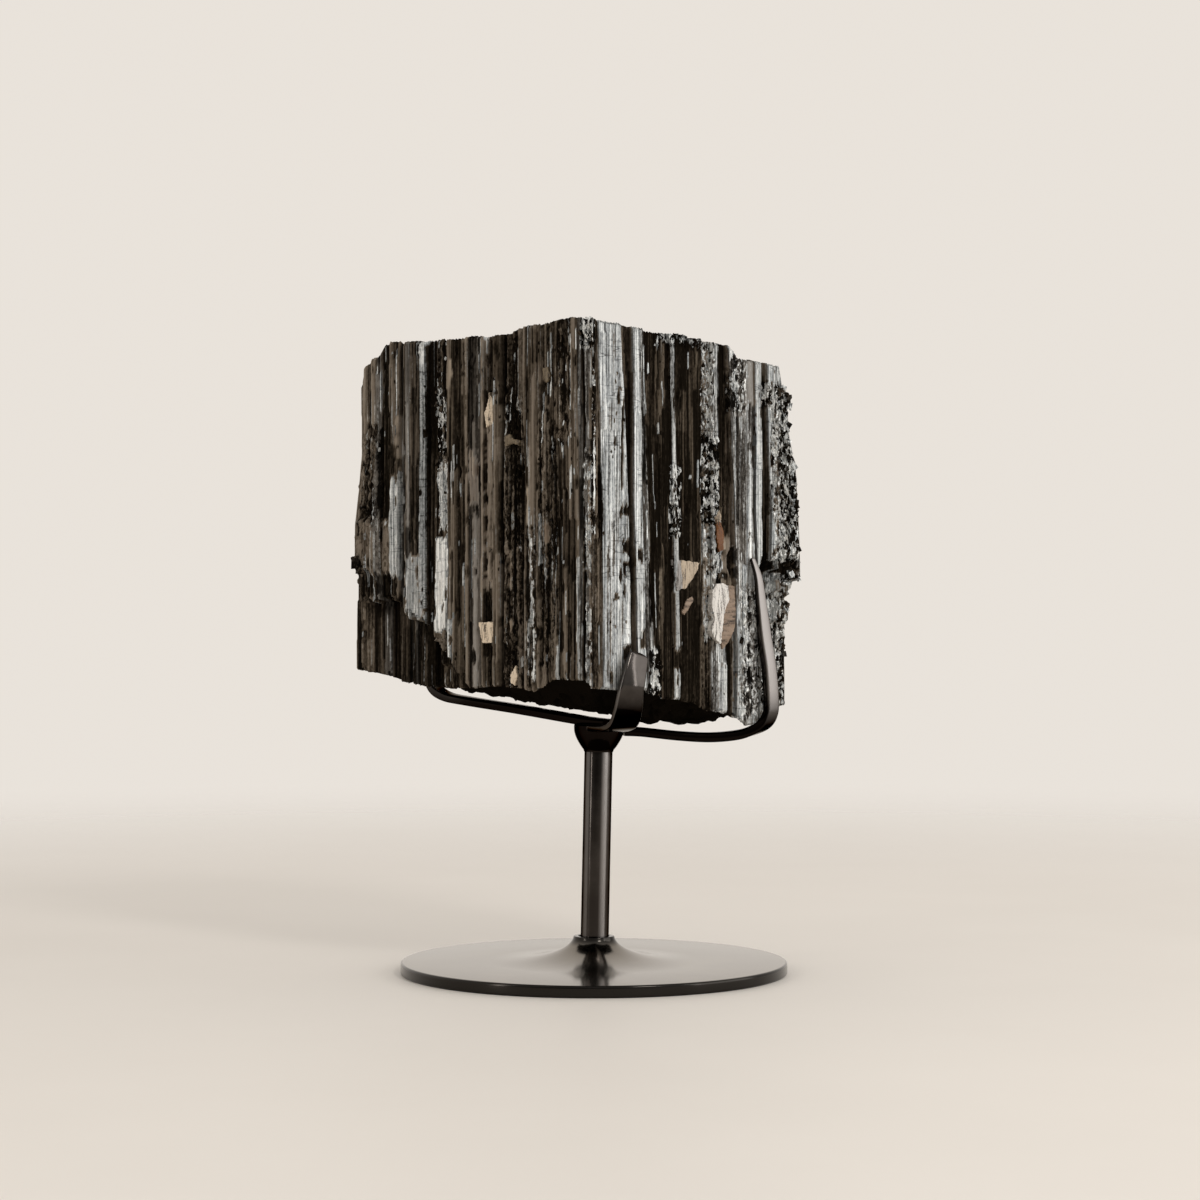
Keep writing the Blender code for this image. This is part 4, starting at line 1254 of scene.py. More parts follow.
# %% Light and warmth of the stone
UNDER_SHADE = {"right": 0.12, "left": 0.5}  # how much painted shade darkens a face under its ledge
BACK_UNDER_SHADE = 0.5
GROOVE_SHADE, GROOVE_DROP, GROOVE_REACH = 0.45, 3.5, 3  # how dark the groove under a ledge is, and where


def ledge_share(ledge, z):
    """1 under a ledge and 0 over it, with a soft lip."""
    return smooth_step((ledge - z) / 1.2 + 0.5)


def light_left(face, ledge, step, z):
    """Painted shade: less light under the ledge, and least in the groove just below it."""
    amount = UNDER_SHADE.get(face.name, BACK_UNDER_SHADE)
    dulled = amount * ledge_share(ledge, z) * min(1, step / 3)
    groove = math.exp(-(((ledge - z - GROOVE_DROP) / GROOVE_REACH) ** 2))
    return 1 - dulled - GROOVE_SHADE * groove * (step > 1)


def warmth_of(strip, face_number):
    """1 for a cool grey crystal and 0 for a brown one. Black ones are brown, half-silvery ones grey."""
    if strip.silver < DULL and strip.tone < 0.15:
        return 0.0
    if DULL <= strip.silver < MIXED:
        return 1.0
    return cell_noise(strip.middle * 2.3, face_number * 5.1, 1.0)


print("light in the groove under the left ledge:", round(light_left(FACES[-1], 150, 6, 147), 2))

# %% [markdown]
# ## The skin
# Each column climbs from the broken foot to the broken top in rows, and every crystal ends a little
# higher or lower than the next. A plane with a displacement texture would stretch at the steps. Rows
# of points that already stand where the stone is keep every step crisp, and each point can carry its
# own finish in two colour attributes.

# %% The skin's rows
ROWS = 108
END_ROWS = 0.006  # share of the height that the broken edge at each end takes
LIFTS, JAGS, EDGE_PULLS = (-0.7, 0.4), (-0.35, 0.35), (0.3, 1.1)  # mm, drawn at random


def row_shares():
    inner = [END_ROWS + (1 - 2 * END_ROWS) * k / (ROWS - 3) for k in range(ROWS - 2)]
    return [0.0] + inner + [1.0]


def skin_rows():
    """Places and finishes of the skin, row by row from the foot."""
    draw = random.Random(SEED + 2)
    chips = scattered(CHIPS, chip_size, CHIP_DEPTHS, draw)
    glints = scattered(GLINTS, glint_size, GLINT_AMOUNTS, draw)
    shares = row_shares()
    rows, looks, feels = ([[] for _ in shares] for _ in range(3))
    strip_lift = {}
    for column in COLUMNS:
        face, strip, before = column.face, column.strip, column.edge_before
        a_middle = blend(before.middle, strip.middle, column.across)
        key = (face.name, strip.middle)
        if key not in strip_lift:
            strip_lift[key] = draw.uniform(*LIFTS)
        jag = strip_lift[key] + draw.uniform(*JAGS)
        top = value_at(face.top, (2 * a_middle + before.middle + strip.middle) / 4) + jag
        foot = value_at(face.foot, a_middle) - 0.5 * jag
        torn = soft_noise(a_middle * 0.3, 0, 3) + 0.7 * cell_noise(a_middle * 0.6, 0, 9)
        ledge = value_at(face.ledge, a_middle) + 2.6 * torn
        step = value_at(face.step, a_middle)
        at_front = other_end(face, a_middle)
        my_marks = [m for m in MARKS.get(face.name, []) if m.near - 3 < at_front < m.far + 3]
        my_chips = [c for c in chips[face.name] if c.near - 1 < at_front < c.far + 1]
        my_glints = [g for g in glints[face.name] if g.near < at_front < g.far]
        pulls = [0.0] * ROWS
        pulls[0], pulls[-1] = draw.uniform(*EDGE_PULLS), draw.uniform(*EDGE_PULLS)
        feel = (strip.grain, warmth_of(strip, FACES.index(face)), 0.0, 1.0)
        for k, share in enumerate(shares):
            z = foot + (top - foot) * share
            near, far = edge_at(before, z) + WALL, edge_at(strip, z) - WALL
            waver = 0.22 * soft_noise(strip.middle * 3.1, z * 0.06, 1.0)
            a = blend(near, far, column.across) + waver * (1 < a_middle < length_of(face) - 1)
            growth = growth_at(column, other_end(face, a), z, my_marks, my_chips, my_glints)
            big = corner_move(face, a, z) - step * ledge_share(ledge, z)
            spot = spot_on(face, a, big, growth.out - pulls[k])
            # Painted shade from the ledge darkens the silver and the paleness of each point.
            shade = light_left(face, ledge, step, z)
            rows[k].append((spot.x * MM, spot.y * MM, z * MM))
            looks[k].append((growth.silver * shade, growth.tan, growth.crumble, growth.tone * shade))
            feels[k].append(feel)
    return rows, looks, feels


rows, looks, feels = skin_rows()
print("skin:", len(rows), "rows of", len(rows[0]))

# %% [markdown]
# ## The broken ends
# The top and the foot are snapped across the crystals, so they are a mosaic of small flats at slightly
# different heights. Voronoi cells stand for the broken crystals: all the points in one cell take one
# height. Near the rim the height comes from the rim's own points, so that the ends meet the skin.

# %% Heights of the broken ends
BELLY = [  # height of the underside along X
    (-110, 137), (-76, 129.8), (-59, 127), (-35, 123.6), (-12, 120.3), (4, 118.6), (12, 115.8),
    (25, 112.9), (50, 111.9), (82, 112.3), (96, 118),
]
BELLY_RIM, TOP_RIM = 36, 14  # how far in from the rim the underside and the top reach their own heights
TOP_HOLLOW = 3
INSET = 3.5
END_SPACING = 2.3
RIM_STRIDE, COARSE_STRIDE = 7, 6  # every how many points of a rim and of a ring are enough to measure by
PLAN = [face.start.copy() for face in FACES]
# The third value of a feel is painted shade: 1 makes the whole underside darker.
TOP_FEEL, FOOT_FEEL = (0.2, 0.5, 0.0, 1.0), (0.2, 0.5, 1.0, 1.0)


def ring_pairs(ring):
    """Each item of a ring with the next one round."""
    return zip(ring, ring[1:] + ring[:1])


def inset_ring(at_foot):
    """The block's plan, a little in from its edge, one point for each column."""
    ring = []
    for column in COLUMNS:
        face = column.face
        a = blend(column.edge_before.middle + WALL, column.strip.middle - WALL, column.across)
        near = min(max(a, 0.05), length_of(face) - 0.05)
        big = corner_move(face, near, FOOT_LEVEL if at_foot else TOP_LEVEL) - INSET
        if at_foot:
            big -= value_at(face.step, near)
        ring.append(spot_on(face, near, big, 0))
    return ring


def distance_to_rim(spot, rim):
    best = 1000.0
    for a, b in ring_pairs(rim):
        near, share = geometry.intersect_point_line(spot, a, b)
        near = a if share < 0 else b if share > 1 else near
        best = min(best, (near - spot).length)
    return best


def inside_ring(spot, ring):
    crossings = 0
    for a, b in ring_pairs(ring):
        if (a.y > spot.y) != (b.y > spot.y):
            crossings += spot.x < a.x + (spot.y - a.y) * (b.x - a.x) / (b.y - a.y)
    return crossings % 2 == 1


def rim_height(spot, rim):
    total, weight = 0.0, 0.0
    for p in rim:
        w = 1 / ((p.x - spot.x) ** 2 + (p.y - spot.y) ** 2 + 9) ** 1.5
        total += p.z * w
        weight += w
    return total / weight


def crystal_level(spot, size, key):
    """A number that is the same all over the broken end of one crystal."""
    _, cells = noise.voronoi(Vector((spot.x / size, spot.y / size, 1.0)))
    return noise.cell(cells[0] * key)


def mosaic(spot, size, amount):
    """One height for each crystal's broken end, with a little roughness of its own."""
    rough = soft_noise(spot.x * 0.5, spot.y * 0.5, 2.0)
    return amount * (crystal_level(spot, size, 7.3) - 0.5) + 0.35 * rough


def top_height(spot, rim):
    inward = smooth_step(distance_to_rim(spot, PLAN) / TOP_RIM)
    rough = soft_noise(spot.x / 11, spot.y / 11, 3.0)
    return rim_height(spot, rim) - inward * TOP_HOLLOW + rough * 1.6 + mosaic(spot, 6.0, 2.2) - 0.4


def foot_height(spot, rim):
    belly = value_at(BELLY, spot.x)
    rim_share = 1 - smooth_step(distance_to_rim(spot, PLAN) / BELLY_RIM)
    rough = abs(soft_noise(spot.x / 12, spot.y / 12, 8.0))
    height = belly + (rim_height(spot, rim) - belly) * rim_share
    return height + rough * 2.6 + abs(mosaic(spot, 5.0, 3.4)) + 0.25


# A few broken cells on the top get silvery colour, a painted reflection.
def top_look(spot):
    level = crystal_level(spot, 6.0, 3.1)
    return (0.2 * (level > 0.85), 0.0, 0.3, 0.10 + 0.2 * level)


# Painted shade: the underside is kept almost black, with faint brown layers.
def foot_look(spot):
    level = soft_noise(spot.x / 30, spot.y / 4, 6.0)
    return (0.0, 0.12 * (level > 0.35), 0.0, 0.01 + 0.05 * level)


print("points on the ring inside the top:", len(inset_ring(False)))

# %% [markdown]
# ## Closing the block
# A ring inside the rim carries the skin inwards, and a shaken grid of points fills the rest. Blender's
# triangulation joins them. A Grid Fill would need the same count of points on opposite sides, and this
# rim has as many as the crystals ask for.

# %% Closing the block


def triangulated(outline, inner):
    """Points and triangles that fill an outline, with the inner points among them."""
    count = len(outline)
    loop = [(i, (i + 1) % count) for i in range(count)]
    return geometry.delaunay_2d_cdt(outline + inner, loop, [], 1, 1e-6)[0:3:2]


def strewn_inside(outline):
    """Points on a shaken grid that fall well inside the outline."""
    draw = random.Random(SEED + 3)
    low = Vector((min(p.x for p in outline), min(p.y for p in outline)))
    high = Vector((max(p.x for p in outline), max(p.y for p in outline)))
    coarse = outline[::COARSE_STRIDE]
    strewn = []
    for j in range(int((high.y - low.y) / END_SPACING) + 1):
        for i in range(int((high.x - low.x) / END_SPACING) + 1):
            shift = Vector((i + draw.uniform(0.15, 0.85), j + draw.uniform(0.15, 0.85)))
            spot = low + shift * END_SPACING
            if inside_ring(spot, coarse) and distance_to_rim(spot, PLAN) > INSET + 1.2:
                strewn.append(spot)
    return strewn


def close_end(verts, looks, faces, rim, height_at, look_at, upward):
    """Closes one end of the skin with a ring of quads and then triangles. rim holds vertex numbers."""
    plan_rim = [Vector(verts[i]) / MM for i in rim[::RIM_STRIDE]]
    numbers = []

    def add(spot):
        numbers.append(len(verts))
        verts.append((spot.x * MM, spot.y * MM, height_at(spot, plan_rim) * MM))
        looks.append(look_at(spot))

    outline = inset_ring(not upward)
    for spot in outline:
        add(spot)
    for (a, b), (c, d) in zip(ring_pairs(rim), ring_pairs(numbers)):
        faces.append((a, b, d, c) if upward else (c, d, b, a))
    spots, triangles = triangulated(outline, strewn_inside(outline))
    for spot in spots[len(outline):]:
        add(spot)
    for triangle in triangles:
        faces.append([numbers[i] for i in (triangle if upward else triangle[::-1])])


def painted_mesh(name, verts, faces, finishes, feelings):
    """A mesh whose points carry the two sets of amounts that the stone's finish reads."""
    mesh = bpy.data.meshes.new(name)
    mesh.from_pydata(verts, [], faces)
    for label, values in (("growth", finishes), ("feel", feelings)):
        paint = mesh.color_attributes.new(label, "FLOAT_COLOR", "POINT")
        paint.data.foreach_set("color", [value for look in values for value in look])
    return mesh


def block_mesh():
    verts = [spot for row in rows for spot in row]
    finishes = [look for row in looks for look in row]
    feelings = [feel for row in feels for feel in row]
    count = len(rows[0])
    rims = [list(range(k * count, (k + 1) * count)) for k in range(len(rows))]
    faces = []
    for below, above in zip(rims, rims[1:]):
        for (a, b), (c, d) in zip(ring_pairs(below), ring_pairs(above)):
            faces.append((a, b, d, c))
    close_end(verts, finishes, faces, rims[0], foot_height, foot_look, False)
    feelings += [FOOT_FEEL] * (len(verts) - len(feelings))
    close_end(verts, finishes, faces, rims[-1], top_height, top_look, True)
    feelings += [TOP_FEEL] * (len(verts) - len(feelings))
    return painted_mesh("tourmaline_block", verts, faces, finishes, feelings)


block = block_mesh()
print("block points:", len(block.vertices))

# %% [markdown]
# ## The stone's streaks and colours
# Tourmaline is glassy and black, and its ribs run the whole height. Noise drawn out along Z gives
# streaks finer than the net of the skin. The colours come from ramps that run from black to pale, one
# brown, one grey and one silvery, because a stone's colours change together with its lightness. The
# silvery one paints the window's reflection into the colour of the clean faces.

# %% Noises and ramps of the stone
# Stretch along the three axes, scale, detail and roughness of each noise.
STONE_NOISES = {
    "line": ((1, 1, 0.010), 1700.0, 3.0, 0.6),
    "fine": ((1, 1, 0.03), 1500.0, 3.0, 0.6),
    "broad": ((1, 1, 0.05), 420.0, 3.0, 0.55),
    "speck": ((1, 1, 0.6), 900.0, 3.0, 0.65),
    "thread": ((1, 1, 0.022), 1150.0, 2.0, 0.5),
    "patch": ((1, 1, 0.4), 70.0, 3.0, 0.5),
    "clump": ((1, 1, 0.55), 260.0, 2.0, 0.6),
    "layer": ((0.12, 0.12, 1), 90.0, 3.0, 0.6),
}
# Each ramp goes from black to pale: place on the ramp, colour.
BROWN_RAMP = (
    (0.0, (0.007, 0.0053, 0.0036)), (0.07, (0.022, 0.0168, 0.0118)), (0.20, (0.079, 0.0620, 0.0450)),
    (0.42, (0.205, 0.1690, 0.1320)), (0.70, (0.270, 0.226, 0.180)), (1.0, (0.40, 0.345, 0.285)),
)
GREY_RAMP = (
    (0.0, (0.006, 0.0053, 0.0044)), (0.20, (0.050, 0.0445, 0.0385)), (0.42, (0.145, 0.1320, 0.1170)),
    (0.70, (0.240, 0.224, 0.204)), (1.0, (0.36, 0.345, 0.325)),
)
# A painted reflection: the pale silver that the clean faces mirror.
SILVER_REFLECTION_RAMP = (
    (0.30, (0.06, 0.061, 0.060)), (0.42, (0.25, 0.262, 0.266)), (0.52, (0.52, 0.53, 0.518)),
    (0.66, (0.92, 0.92, 0.89)),
)
STAIN_RAMP = ((0.3, (0.10, 0.062, 0.040)), (0.5, (0.26, 0.200, 0.145)), (0.65, (0.50, 0.42, 0.32)))
print("noises on the stone:", len(STONE_NOISES))

# %% [markdown]
# ## The stone's finish
# The skin carries four ingredients in the attribute "growth": silvery face, tan stain, crumbled glitter
# and paleness. The attribute "feel" adds how coarse the ribs are, how warm the stone is, and how much
# painted shade darkens the underside. The shader only mixes them. Clean faces are treated as
# half-metal, because they mirror the room far more strongly than the dull ones, and their pale silver is
# a painted reflection. Glitter and thin threads are painted highlights, and the pits, the holes between
# crumbs and the cracks are darkened with painted shade.

# %% Stone finish
STONE_CONSTANTS = {"Specular IOR Level": 0.0, "Specular Tint": (1.0, 0.88, 0.74, 1.0)}


def stone_look(recipe):
    growth = recipe.attribute("growth")
    silver, tan, crumble = recipe.parts(growth)
    tone = growth.sibling("Alpha")
    grain, warmth, underside_shade = recipe.parts(recipe.attribute("feel"))
    lively = 0.25 + grain.rise(0.03, 0.14) * 0.75
    grit = grain.rise(0.12, 0.30)

    line, fine, broad, speck, thread, patch, clump, layer = (
        recipe.noise(recipe.place(stretch), *rest) for stretch, *rest in STONE_NOISES.values()
    )
    spots = recipe.cells((1, 1, 0.7), 520.0)
    pits = recipe.cells((1, 1, 0.55), 300.0)
    facet = recipe.parts(recipe.cells((1, 1, 0.45), 560.0, output=1))[0]
    # Painted shade darkens pits, the holes between crumbs and cracks; glitter is a painted highlight.
    pit = (1 - (pits + (speck - 0.5) * 0.3).rise(0.10, 0.20)) * patch.rise(0.50, 0.56)
    chunk = clump * 0.6 + (facet - 0.5) * 0.16 + speck * 0.4
    hole = (1 - chunk.rise(0.44, 0.49)) * crumble
    glitter = chunk.rise(0.515, 0.54) * crumble
    level = layer - 0.5
    crack = 1 - level.at_least(0 - level).rise(0.001, 0.006)

    # The dull stone, from black to pale, in a brown and a grey kind, with painted shade in pits and
    # holes and on the underside.
    streaks = (line - 0.5) * 0.60 + (fine - 0.5) * 0.30 + (broad - 0.5) * 0.40
    grainy = (speck - 0.5) * (grit * 0.5 + 0.25)
    paleness = tone + streaks * lively + grainy - pit * 0.3 - hole * 0.6 - crumble * 0.28 - underside_shade
    dull = recipe.ramp(paleness, *BROWN_RAMP)
    grey = recipe.ramp(paleness, *GREY_RAMP)
    body = recipe.mix(warmth.rise(0.68, 0.9), dull, grey)

    # The clean silvery faces: a painted reflection, with painted highlights where glitter adds to it.
    drawn = (line - 0.5) * 0.6 + (fine - 0.5) * 0.2 + (broad - 0.5) * 0.15
    shine = 0.405 + silver.rise(0.50, 0.90) * 0.055 + drawn * (lively + 0.25) * 1.2
    shine = shine + tone * 0.06 + glitter * 0.20 + silver.rise(0.98, 1.25) * 0.10
    bright = recipe.ramp(shine + (speck - 0.5) * 0.3 - pit * 0.3 - crack * 0.10, *SILVER_REFLECTION_RAMP)

    # Where each of them shows, with painted highlight threads, and the stain over both.
    threads = (thread + (patch - 0.5) * 0.25 + (speck - 0.5) * 0.25).rise(0.61, 0.70) * 0.55
    flaw = (fine - 0.5) * 0.45 + (speck - 0.5) * 0.3 + glitter * 0.8 - hole * 1.2 - pit * 0.5
    plates = (silver + flaw).rise(0.32, 0.55)
    shown = plates.at_least(threads * (tone * 2.2).rise(0.2, 0.8))
    stained = (tan + (broad - 0.5) * 0.6 + (speck - 0.5) * 0.3).rise(0.3, 0.8)
    clean = shown * (1 - stained)

    ribs = (line * 0.6 + fine * 0.3 + broad * 0.1) * lively * (1 - shown * 0.6)
    lumps = speck * 0.5 + spots * 0.5 + chunk * 1.2 - pit
    strength = crumble * 0.9 + grit * 0.2 + 0.08
    stain = recipe.ramp(broad, *STAIN_RAMP)
    return {
        "Base Color": recipe.mix(stained, recipe.mix(shown, body, bright), stain),
        "Metallic": clean * 0.6,
        "Roughness": 0.42 + clean * 0.10 + (speck - 0.5) * 0.3 - crumble * 0.12,
        "Normal": recipe.bump(lumps, strength, 0.0012, recipe.bump(ribs, 0.4, 0.0004)),
    }


stone_finish = finish("black_tourmaline", STONE_CONSTANTS, stone_look)
tourmaline = add_piece(
    "tourmaline_block", block, stone_finish, stands_for="tourmaline", sharp=24
)
triangles = sum(len(face.vertices) - 2 for face in tourmaline.data.polygons)
print("stone triangles:", triangles)

# %% [markdown]
# ## Finding a place on a face again
# Crumbs and inclusions sit on the finished skin, so they need its places. A ray shot at the mesh would
# find them, but the same sums that built the skin give them exactly, ledge and leaning corners
# included, and without the small ribs that a crumb should bridge.

# %% Places for small things


def place_on(face, a, z, out):
    """The point in mm at a distance from the front corner and a height, standing out by out."""
    target = other_end(face, a)
    under = ledge_share(value_at(face.ledge, target), z)
    big = corner_move(face, target, z) - value_at(face.step, target) * under
    flat = spot_on(face, target, big, out)
    return Vector((flat.x, flat.y, z))


def stand_out(face, a, z):
    """How far the crystals stand out at a place, before marks and ribs."""
    target = other_end(face, a)
    before = 0.0
    for strip in STRIPS[face.name]:
        edge = edge_at(strip, z)
        if target <= edge:
            return blend(strip.near, strip.far, (target - before) / max(edge - before, 0.1))
        before = edge
    return 0.0


print("front corner at half height, mm:", [round(x, 1) for x in place_on(FACES[0], 0, 210, 0)])

# %% [markdown]
# ## Crumbs
# Where the face has crumbled, small angular pieces stand out of it. Each is a box with its corners
# pushed about at random, turned, and half sunk in the skin, so it throws a real shadow and breaks the
# outline of the block. A bump in the finish would do neither. The two outer corners carry heaps of
# larger ones.

# %% Crumbs in the crumbled zones
CRUMB_SPACING = 4.2  # mm of face to a crumb, each way, in a zone that is crumbled through
CRUMB_SIZES = (0.7, 1.9)
CORNER_HEAPS = {  # distance, height, stand-out, width and height of the heaps at the two outer corners
    "left": [(145.6, 188.4, 0.2, 5, 6.4), (144.8, 185.4, 0.2, 3.8, 3.6)],
    "right": [
        (127, 270, 1.4, 3.4, 2.6), (131, 267, 1.2, 3.6, 3), (135, 263, 0.8, 3, 4),
        (134.5, 252, 0.6, 2.6, 6), (135, 236, 0.1, 2.4, 7), (133.5, 216, 0.4, 3, 6),
        (134.5, 200, -0.4, 2.4, 7), (131, 184, 0.2, 3.4, 4), (134, 177.5, 3.4, 3.6, 4.4),
        (130, 176, 3.4, 3.8, 4), (133.5, 168, 2.6, 3.6, 4.6), (131, 163.5, 2.2, 3.4, 4.2),
        (134, 150, 0.8, 2.4, 5), (133, 137, 0.6, 2.4, 5), (133, 127, 0.6, 2.4, 4),
    ],
}
CRUMBS_IN_HEAP = 4
CRUMB_GLINT = 0.9  # painted glint: how silvery the brightest crumbs are, one in four
CORNERS = ((-1, -1), (1, -1), (1, 1), (-1, 1))
SIDES = ((0, 3, 2, 1), (4, 5, 6, 7), (0, 1, 5, 4), (1, 2, 6, 5), (2, 3, 7, 6), (3, 0, 4, 7))


def crumb(draw, middle, wide, tall, verts, faces):
    """Adds one angular lump: a box whose corners are pushed about and that is turned a little."""
    turn = Euler([draw.uniform(-0.6, 0.6) for _ in range(3)]).to_matrix()
    first = len(verts)
    for sz in (-1, 1):
        for sx, sy in CORNERS:
            corner = Vector((sx * wide, sy * wide, sz * tall)) * 0.5
            corner = Vector([c * draw.uniform(0.55, 1.1) for c in corner])
            verts.append(tuple((middle + turn @ corner) * MM))
    faces += [[first + i for i in side] for side in SIDES]


def crumbs_mesh():
    draw = random.Random(SEED + 4)
    verts, faces, finishes, feelings = [], [], [], []

    def add(middle, wide, tall, bright=CRUMB_GLINT):
        crumb(draw, middle, wide, tall, verts, faces)
        # One crumb in four gets a painted glint of silver colour.
        silver = draw.choice((0.0, 0.0, 0.0, bright))
        finishes.extend([(silver, 0.0, 0.2, draw.uniform(0.03, 0.25))] * 8)
        feelings.extend([(0.2, draw.random(), 0.0, 1.0)] * 8)

    for name in ("right", "left"):
        face = FACE_NAMED[name]
        for mark in (m for m in MARKS[name] if m.kind == "crumble"):
            area = (mark.far - mark.near) * (mark.high - mark.low)
            for _ in range(round(area * mark.amount**2 / CRUMB_SPACING**2)):
                a, z = draw.uniform(mark.near, mark.far), draw.uniform(mark.low, mark.high)
                size = draw.uniform(*CRUMB_SIZES)
                target = other_end(face, a)
                top = min(value_at(face.top, target + shift) for shift in (-4, 0, 4))
                if value_at(face.foot, target) + 2 < z < top - 2:
                    middle = place_on(face, a, z, stand_out(face, a, z) + 0.1)
                    add(middle, size, size * draw.uniform(0.8, 2.4))
    for name, heaps in CORNER_HEAPS.items():
        for a, z, out, wide, tall in heaps:
            for _ in range(CRUMBS_IN_HEAP):
                shift = Vector([draw.uniform(-0.35, 0.35) for _ in range(3)]) * wide
                scale = draw.uniform(0.6, 1.0)
                middle = place_on(FACE_NAMED[name], a, z, out) + shift
                add(middle, wide * scale, tall * scale, CRUMB_GLINT * (name == "right"))
    return painted_mesh("crumbs", verts, faces, finishes, feelings)


crumbs = add_piece("crumbs", crumbs_mesh(), stone_finish, sharp=20)
print("crumbs:", len(crumbs.data.vertices) // 8)

# %% [markdown]
# ## Pale inclusions
# A few slivers of feldspar and rusty mica are caught between the crystals. Painted on, they would follow
# every rib, and the real ones don't. So each is a small solid: an outline on its face, drawn with a few
# points, whose torn edge is added by the loop below.

# %% Outlines of the inclusions
INCLUSIONS = [  # face, kind, how far it stands out, outline as (distance from the front corner, height)
    ("right", "tan", 0.5, [(56.1, 189.5), (68.6, 188.3), (64.5, 182), (58.5, 176.4), (56.8, 176.9)]),
    ("right", "grey", 0.4, [(50.6, 189.6), (56.4, 189.4), (57, 177), (53.5, 175.5), (51.6, 182)]),
    ("right", "banded", 0.3, [
        (57, 166), (60, 171.5), (63.5, 173.2), (64.3, 171.5), (61, 167.5), (58.5, 164.8),
    ]),
    ("right", "white", 1.8, [
        (76.2, 175.5), (77.9, 178.6), (83.4, 179), (86.8, 178), (87, 172), (84.4, 168), (83, 164),
        (82, 158), (80.6, 151.5), (76.6, 154.5), (75, 157.5), (77, 163), (75.6, 168),
    ]),
    ("right", "banded", 1.6, [
        (83.8, 167), (86.4, 172), (86.6, 178.2), (90, 177.6), (91.4, 166), (91, 157.5), (88, 153),
        (83.8, 149), (82, 153), (82.4, 159),
    ]),
    ("right", "rust", 1.0, [
        (79.6, 208.5), (82.4, 207), (84, 201), (83.4, 194.5), (80.6, 193.5), (79.2, 200),
    ]),
    ("right", "tan", 0.6, [(79, 209.5), (81.4, 212.5), (82.6, 209.6), (81.4, 206.6), (79.6, 206.5)]),
    ("left", "sand", 0.5, [
        (62.8, 265.5), (59.2, 254.5), (59.6, 252), (64.8, 249.6), (66, 256), (64.2, 259.5),
    ]),
    ("left", "sand", 0.5, [
        (58.9, 161.6), (67.2, 161.2), (66.4, 156), (65.2, 152.3), (59.8, 152.2), (59, 156.5),
    ]),
    ("left", "sand", 0.4, [(46, 142), (49, 138), (48.8, 134.5), (46.5, 133.2), (45, 137)]),
    ("left", "olive", 0.3, [
        (53.3, 244.6), (50, 246), (47.6, 243.6), (43.6, 243), (44.4, 240.6), (48, 242), (52.6, 240.6),
    ]),
    ("left", "olive", 0.4, [(30, 274.3), (26.5, 275), (25, 271), (27.2, 268), (29.6, 269.5)]),
]
INCLUSION_COLOURS = {
    "tan": (0.46, 0.37, 0.27), "sand": (0.78, 0.64, 0.48), "grey": (0.32, 0.30, 0.28),
    "rust": (0.15, 0.055, 0.014), "white": (0.74, 0.70, 0.65), "banded": (0.26, 0.185, 0.130),
    "olive": (0.20, 0.155, 0.10),
}
EDGE_STEP, EDGE_TORN = 0.7, 0.28  # mm between the points of an outline, and how far each is pushed


def torn_outline(points, draw):
    """The outline with points added along its sides and each pushed about a little."""
    torn = []
    for (a0, z0), (a1, z1) in ring_pairs(points):
        count = max(1, round(math.hypot(a1 - a0, z1 - z0) / EDGE_STEP))
        for k in range(count):
            wide = EDGE_TORN if k else 0.0
            torn.append(Vector((
                blend(a0, a1, k / count) + draw.uniform(-wide, wide),
                blend(z0, z1, k / count) + draw.uniform(-wide, wide),
            )))
    return torn


print("outlines:", len(INCLUSIONS))

# %% [markdown]
# ## Building the inclusions
# Each front is triangulated with points strewn inside it and tilted slightly, so that it catches light
# of its own. Walls lead back from its edge into the stone, and Blender's Fill Holes closes the back,
# because a solid thing has to be closed to be useful elsewhere.

# %% Building the inclusions
SUNK = 1.6  # mm that an inclusion reaches into the stone
EDGE_DROP = 0.25  # mm that the rim of an inclusion lies lower than its middle


def add_inclusion(face, lift, points, draw, verts, faces):
    """Adds one inclusion: its tilted front, and walls that reach back into the stone."""
    outline = torn_outline(points, draw)
    count, first = len(outline), len(verts)
    middle = sum(outline, Vector((0, 0))) / count
    level = max(stand_out(face, p.x, p.y) for p in (middle, outline[0], outline[count // 2]))
    tilt = draw.uniform(-0.08, 0.08), draw.uniform(-0.05, 0.05)
    inner = [
        outline[draw.randrange(count)].lerp(middle, draw.uniform(0.25, 1.0)) for _ in range(count * 2)
    ]
    spots, triangles = triangulated(outline, inner)
    for i, p in enumerate(spots):
        out = level + lift + (p.x - middle.x) * tilt[0] + (p.y - middle.y) * tilt[1]
        out += 0.35 * soft_noise(p.x * 0.4, p.y * 0.25, 4.0) - (EDGE_DROP if i < count else 0)
        verts.append(tuple(place_on(face, p.x, p.y, out) * MM))
    for p in outline:
        verts.append(tuple(place_on(face, p.x, p.y, level - SUNK) * MM))
    for triangle in triangles:
        faces.append([first + i for i in (triangle[::-1] if face.turned else triangle)])
    front, back = (list(range(start, start + count)) for start in (first, first + len(spots)))
    flip = face.turned != (sum(p.cross(q) for p, q in ring_pairs(outline)) < 0)
    for (p, q), (r, s) in zip(ring_pairs(front), ring_pairs(back)):
        faces.append((q, s, r, p) if flip else (p, r, s, q))


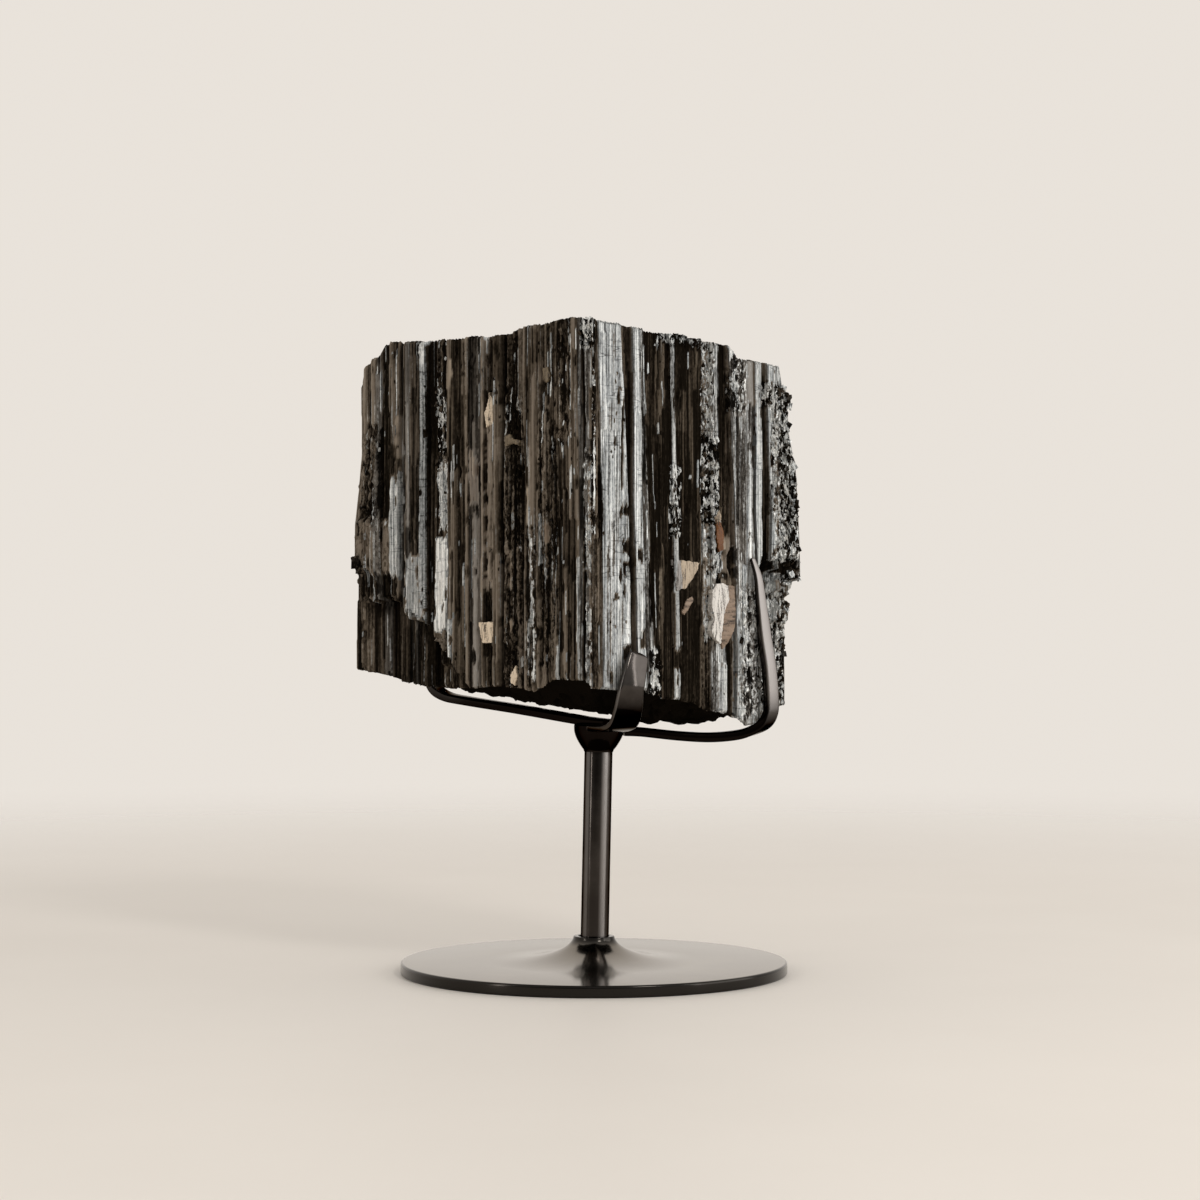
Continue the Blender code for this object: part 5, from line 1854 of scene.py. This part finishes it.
def inclusions_mesh():
    draw = random.Random(SEED + 5)
    verts, faces, colours = [], [], []
    for name, kind, lift, points in INCLUSIONS:
        add_inclusion(FACE_NAMED[name], lift, points, draw, verts, faces)
        colour = (*INCLUSION_COLOURS[kind], float(kind == "banded"))
        colours += [colour] * (len(verts) - len(colours))
    mesh = bpy.data.meshes.new("inclusions")
    mesh.from_pydata(verts, [], faces)
    paint = mesh.color_attributes.new("mineral", "FLOAT_COLOR", "POINT")
    paint.data.foreach_set("color", [value for colour in colours for value in colour])
    bm = bmesh.new()
    bm.from_mesh(mesh)
    bmesh.ops.holes_fill(bm, edges=[edge for edge in bm.edges if edge.is_boundary])
    bmesh.ops.recalc_face_normals(bm, faces=bm.faces)
    bm.to_mesh(mesh)
    bm.free()
    return mesh


inclusions_solid = inclusions_mesh()
print("points on the inclusions:", len(inclusions_solid.vertices))

# %% [markdown]
# ## Finish of the inclusions
# Each sliver's own colour is in the attribute "mineral". Dark dirt sits in its streaks, which run
# upright in most of them and level in the banded ones. One shared finish is enough, because the
# attribute says which kind each point belongs to.

# %% Finish of the inclusions
INCLUSION_DARK, INCLUSION_PALE = (0.03, 0.018, 0.010), (0.80, 0.72, 0.64)


def inclusion_look(recipe):
    mineral = recipe.attribute("mineral")
    banded = mineral.sibling("Alpha")
    streak = recipe.noise(recipe.place((1, 1, 0.12)), 900.0, 3.0, 0.6)
    layer = recipe.noise(recipe.place((0.12, 0.12, 1)), 620.0, 3.0, 0.6)
    speck = recipe.noise(recipe.place((1, 1, 1)), 1400.0, 3.0, 0.6)
    mottle = (streak + (layer - streak) * banded) * 0.7 + speck * 0.3
    pale = recipe.mix(mottle.rise(0.54, 0.72) * 0.12, mineral, INCLUSION_PALE)
    return {
        "Base Color": recipe.mix(mottle.rise(0.33, 0.54), INCLUSION_DARK, pale),
        "Roughness": 0.35 + (speck - 0.5) * 0.3,
        "Normal": recipe.bump(mottle, 0.4, 0.0004),
    }


inclusion_finish = finish("pale_inclusion", {"Specular IOR Level": 0.2}, inclusion_look)
inclusions = add_piece("inclusions", inclusions_solid, inclusion_finish, sharp=12)
print("inclusions:", len(INCLUSIONS), "with", len(inclusions.data.polygons), "faces")
